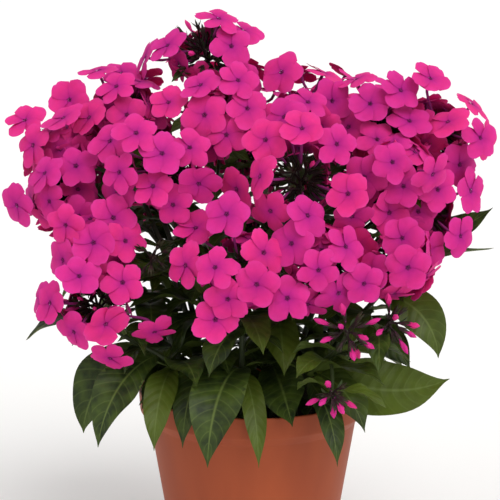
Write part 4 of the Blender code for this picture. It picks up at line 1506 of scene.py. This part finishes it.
class PHLOX_OT_add_foliage(bpy.types.Operator):
    """Grow the stems with their branches and the leaves on them"""
    bl_idname = "phlox.add_foliage"
    bl_label = "Add Stems and Leaves"

    def execute(self, context):
        settings = context.scene.phlox.leaf
        draw = random.Random(SEED + 1)
        plan = plan_stems()
        tree = sprig_tree()
        empty = bpy.data.collections.new("no_shapes")
        skin = stem_tissue(settings)
        cuticle = leaf_blade_tissue(settings)
        room = Room()
        rosettes = {stem: Blades("along", "across", "arch", "shade") for stem in plan}
        for stem, leaves in plan_leaves(plan).items():
            for start, azimuth, reach, width, *bend in leaves:
                leaf = Leaf(start, azimuth, reach * MM, width * MM, *bend, draw)
                leaf.path[0] = min(plan[stem][1][0], key=lambda point: (point - start).length)
                leaf.add_to(rosettes[stem], LEAF_STEPS, LEAF_COLUMNS, settings)
                room.take(leaf)
        for stem, (_, fine) in plan.items():
            for path in fine:
                self.add_small_leaves(rosettes[stem], path, room, settings, draw)
        for stem, (_, fine) in plan.items():
            seedling = Seedling()
            for k, path in enumerate(fine):
                wide = settings.branch_radius if k else settings.foot_radius
                narrow = settings.branch_radius * 0.8 if k else settings.top_radius
                alongs = [m / (len(path) - 1) for m in range(len(path))]
                radii = [wide + (narrow - wide) * along for along in alongs]
                seedling.stalk(path, 1.0, radii, alongs)
            stalks = grow("stalk_" + stem, seedling.object(), tree, {
                "Shapes": empty, "Material": skin, "Stalk Sides": 8,
            })
            piece = rosettes[stem].piece("leaves_" + stem)
            piece.data.materials.append(cuticle)
            for each in (stalks, piece):
                fit(each, "leaves", "stem_" + stem)
        bpy.data.collections.remove(empty)
        return {"FINISHED"}

    def add_small_leaves(self, blades, path, room, settings, draw):
        """Opposite pairs all the way up a stem or a branch, wherever a leaf finds room."""
        run = sum((b - a).length for a, b in zip(path, path[1:]))
        walked = 0
        due = SMALL_LEAF_FIRST
        turn = draw.uniform(0, 360)
        for a, b in zip(path, path[1:]):
            step = (b - a).length
            while walked <= due < walked + step and due < run - SMALL_LEAF_LAST:
                place = a.lerp(b, (due - walked) / step)
                for side in (0, 180):
                    if place.z >= SMALL_LEAF_LOWEST:
                        self.add_small_leaf(blades, place, turn + side, due / run, room,
                                            settings, draw)
                turn += 90 + draw.uniform(-12, 12)
                due += SMALL_LEAF_STEP * draw.uniform(0.85, 1.15)
            walked += step

    def add_small_leaf(self, blades, place, azimuth, near_top, room, settings, draw):
        reach = (SMALL_LEAF_LENGTH - SMALL_LEAF_SHORTER * near_top) * draw.uniform(0.85, 1.1)
        rise = draw.uniform(10, 45)
        fall = draw.uniform(-75, -20)
        for smaller in SMALL_LEAF_SCALES:
            for turn in SMALL_LEAF_TURNS:
                size = reach * smaller * MM
                leaf = Leaf(place, azimuth + turn, size, size * draw.uniform(0.3, 0.4), rise,
                            fall, draw.uniform(-25, 25), draw)
                leaf.twist *= SMALL_LEAF_TWIST
                if room.has(leaf):
                    leaf.add_to(blades, LEAF_STEPS // 2, SMALL_LEAF_COLUMNS, settings)
                    room.take(leaf)
                    return


class PHLOX_OT_add_pot(bpy.types.Operator):
    """Turn the moulded pot and cut its drainage holes"""
    bl_idname = "phlox.add_pot"
    bl_label = "Add Pot"

    def execute(self, context):
        settings = context.scene.phlox.pot
        low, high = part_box("pot")
        rim = high.x
        top = high.z
        shoulder = top - settings.rim_band
        wall = settings.wall
        step = shoulder - settings.shoulder_drop
        slope = (settings.shoulder_radius - settings.foot_radius) / step
        inner_foot = settings.foot_radius + settings.floor * slope - wall
        points, faces = lathe(rounded((
            (0, low.z),
            (settings.foot_radius, low.z),
            (settings.shoulder_radius, step),
            (rim - settings.rim_taper, shoulder),
            (rim, top),
            (rim - wall, top),
            (settings.shoulder_radius - wall, step + INNER_SHOULDER),
            (inner_foot, settings.floor),
            (0, settings.floor),
        ), settings.rounding), POT_SIDES)
        pot = show("pot_moulding", make_mesh("pot_moulding", points, faces))
        drains = bpy.data.collections.new("drains")
        reach = settings.floor * 2
        for k in range(DRAINS):
            turn = math.tau * (k + 0.5) / DRAINS
            middle = Vector((math.cos(turn), math.sin(turn), 0)) * settings.drain_ring
            cut, cut_faces = lathe(((0, -reach), (settings.drain_radius, -reach),
                                    (settings.drain_radius, reach), (0, reach)), DRAIN_SIDES)
            mesh = make_mesh("drain", [point + middle for point in cut], cut_faces)
            drains.objects.link(bpy.data.objects.new("drain", mesh))
        cutting = pot.modifiers.new("Drains", "BOOLEAN")
        cutting.operand_type = "COLLECTION"
        cutting.collection = drains
        cutting.solver = "EXACT"
        graph = bpy.context.evaluated_depsgraph_get()
        pot.data = bpy.data.meshes.new_from_object(pot.evaluated_get(graph))
        pot.modifiers.clear()
        drop_collection(drains)
        pot.data.shade_smooth()
        pot.data.set_sharp_from_angle(angle=math.radians(POT_SHARP_EDGE))
        pot.data.materials.clear()
        pot.data.materials.append(moulded_polypropylene(settings))
        fit(pot, "pot_plastic", "pot")
        return {"FINISHED"}


class PHLOX_OT_add_soil(bpy.types.Operator):
    """Fill the pot with peat and strew crumbs over it"""
    bl_idname = "phlox.add_soil"
    bl_label = "Add Soil"

    def execute(self, context):
        settings = context.scene.phlox.soil
        low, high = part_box("soil")
        radius = high.x
        top = high.z - settings.unevenness
        profile = [(0, low.z), (radius * SOIL_FOOT_SHARE, low.z), (radius, high.z - SOIL_SLOPE)]
        profile += [(radius * k / SOIL_RINGS, top) for k in range(SOIL_RINGS, -1, -1)]
        points, faces = lathe(profile, SOIL_SIDES)
        for point in points:
            if point.z >= top - MERGE_DISTANCE:
                hump = sum(share * noise.noise(point / across) for across, share in HUMPS)
                point.z += settings.unevenness * hump
        body = show("peat_body", make_mesh("peat_body", points, faces))
        piece = grow("peat", body, crumb_tree(), {
            "Crumb Radius": settings.crumb, "Seed": SEED,
            "Crumbs per Square Metre": settings.crumbs_per_square_metre,
            "Material": moist_peat(settings),
        })
        fit(piece, "soil", "soil")
        return {"FINISHED"}


class PHLOX_OT_add_stage(bpy.types.Operator):
    """Set up the floor, the lamps and the camera"""
    bl_idname = "phlox.add_stage"
    bl_label = "Add Stage"

    def execute(self, context):
        settings = context.scene.phlox.stage
        half = settings.floor_size / 2
        corners = [(-half, -half, 0), (half, -half, 0), (half, half, 0), (-half, half, 0)]
        ground = show("studio_floor", make_mesh("studio_floor", corners, [[0, 1, 2, 3]],
                                                closed=False))
        ground.data.materials.append(painted_floor(settings))

        world = bpy.data.worlds.new("studio")
        world.use_nodes = True
        background = world.node_tree.nodes["Background"].inputs
        background["Color"].default_value = (1, 1, 1, 1)
        background["Strength"].default_value = settings.sky
        context.scene.world = world
        context.scene.view_settings.view_transform = "Standard"

        # Far lamps behind wide diffusers, which light floor and plant alike
        for name, azimuth, elevation in LAMPS:
            away = direction(azimuth, elevation)
            lamp = bpy.data.lights.new(name, "SUN")
            lamp.angle = math.radians(LAMP_WIDTH)
            lamp.energy = getattr(settings, name)
            show(name, lamp).rotation_euler = (-away).to_track_quat("-Z", "Y").to_euler()

        away = direction(0, math.degrees(settings.elevation))
        lens = bpy.data.cameras.new("camera")
        lens.lens = settings.lens
        camera = show("camera", lens)
        camera.location = Vector(TARGET) * MM + away * settings.distance
        camera.rotation_euler = (-away).to_track_quat("-Z", "Y").to_euler()
        context.scene.camera = camera
        return {"FINISHED"}


class PHLOX_PT_panel(bpy.types.Panel):
    """The plant's pieces and what can be changed about them"""
    bl_idname = "PHLOX_PT_panel"
    bl_label = "Phlox"
    bl_space_type = "VIEW_3D"
    bl_region_type = "UI"
    bl_category = "Phlox"

    def draw(self, context):
        settings = context.scene.phlox
        for group_name, operator in PIECES:
            box = self.layout.box()
            group = getattr(settings, group_name)
            for name in group.__annotations__:
                box.prop(group, name)
            if operator:
                box.operator(operator.bl_idname)


PIECES = (
    ("pot", PHLOX_OT_add_pot),
    ("soil", PHLOX_OT_add_soil),
    ("leaf", PHLOX_OT_add_foliage),
    ("panicle", None),
    ("floret", PHLOX_OT_add_heads),
    ("stage", PHLOX_OT_add_stage),
)
CLASSES = (
    PhloxFloretSettings,
    PhloxPanicleSettings,
    PhloxLeafSettings,
    PhloxPotSettings,
    PhloxSoilSettings,
    PhloxStageSettings,
    PhloxSettings,
    *(operator for _, operator in PIECES if operator),
    PHLOX_PT_panel,
)


def register():
    for each in CLASSES:
        bpy.utils.register_class(each)
    bpy.types.Scene.phlox = PointerProperty(type=PhloxSettings, name="Phlox",
                                            description="The potted phlox")


def unregister():
    del bpy.types.Scene.phlox
    for each in reversed(CLASSES):
        bpy.utils.unregister_class(each)


def main():
    register()
    bpy.ops.phlox.add_pot()
    bpy.ops.phlox.add_soil()
    bpy.ops.phlox.add_foliage()
    bpy.ops.phlox.add_heads()
    bpy.ops.phlox.add_stage()


if __name__ == "__main__":
    main()
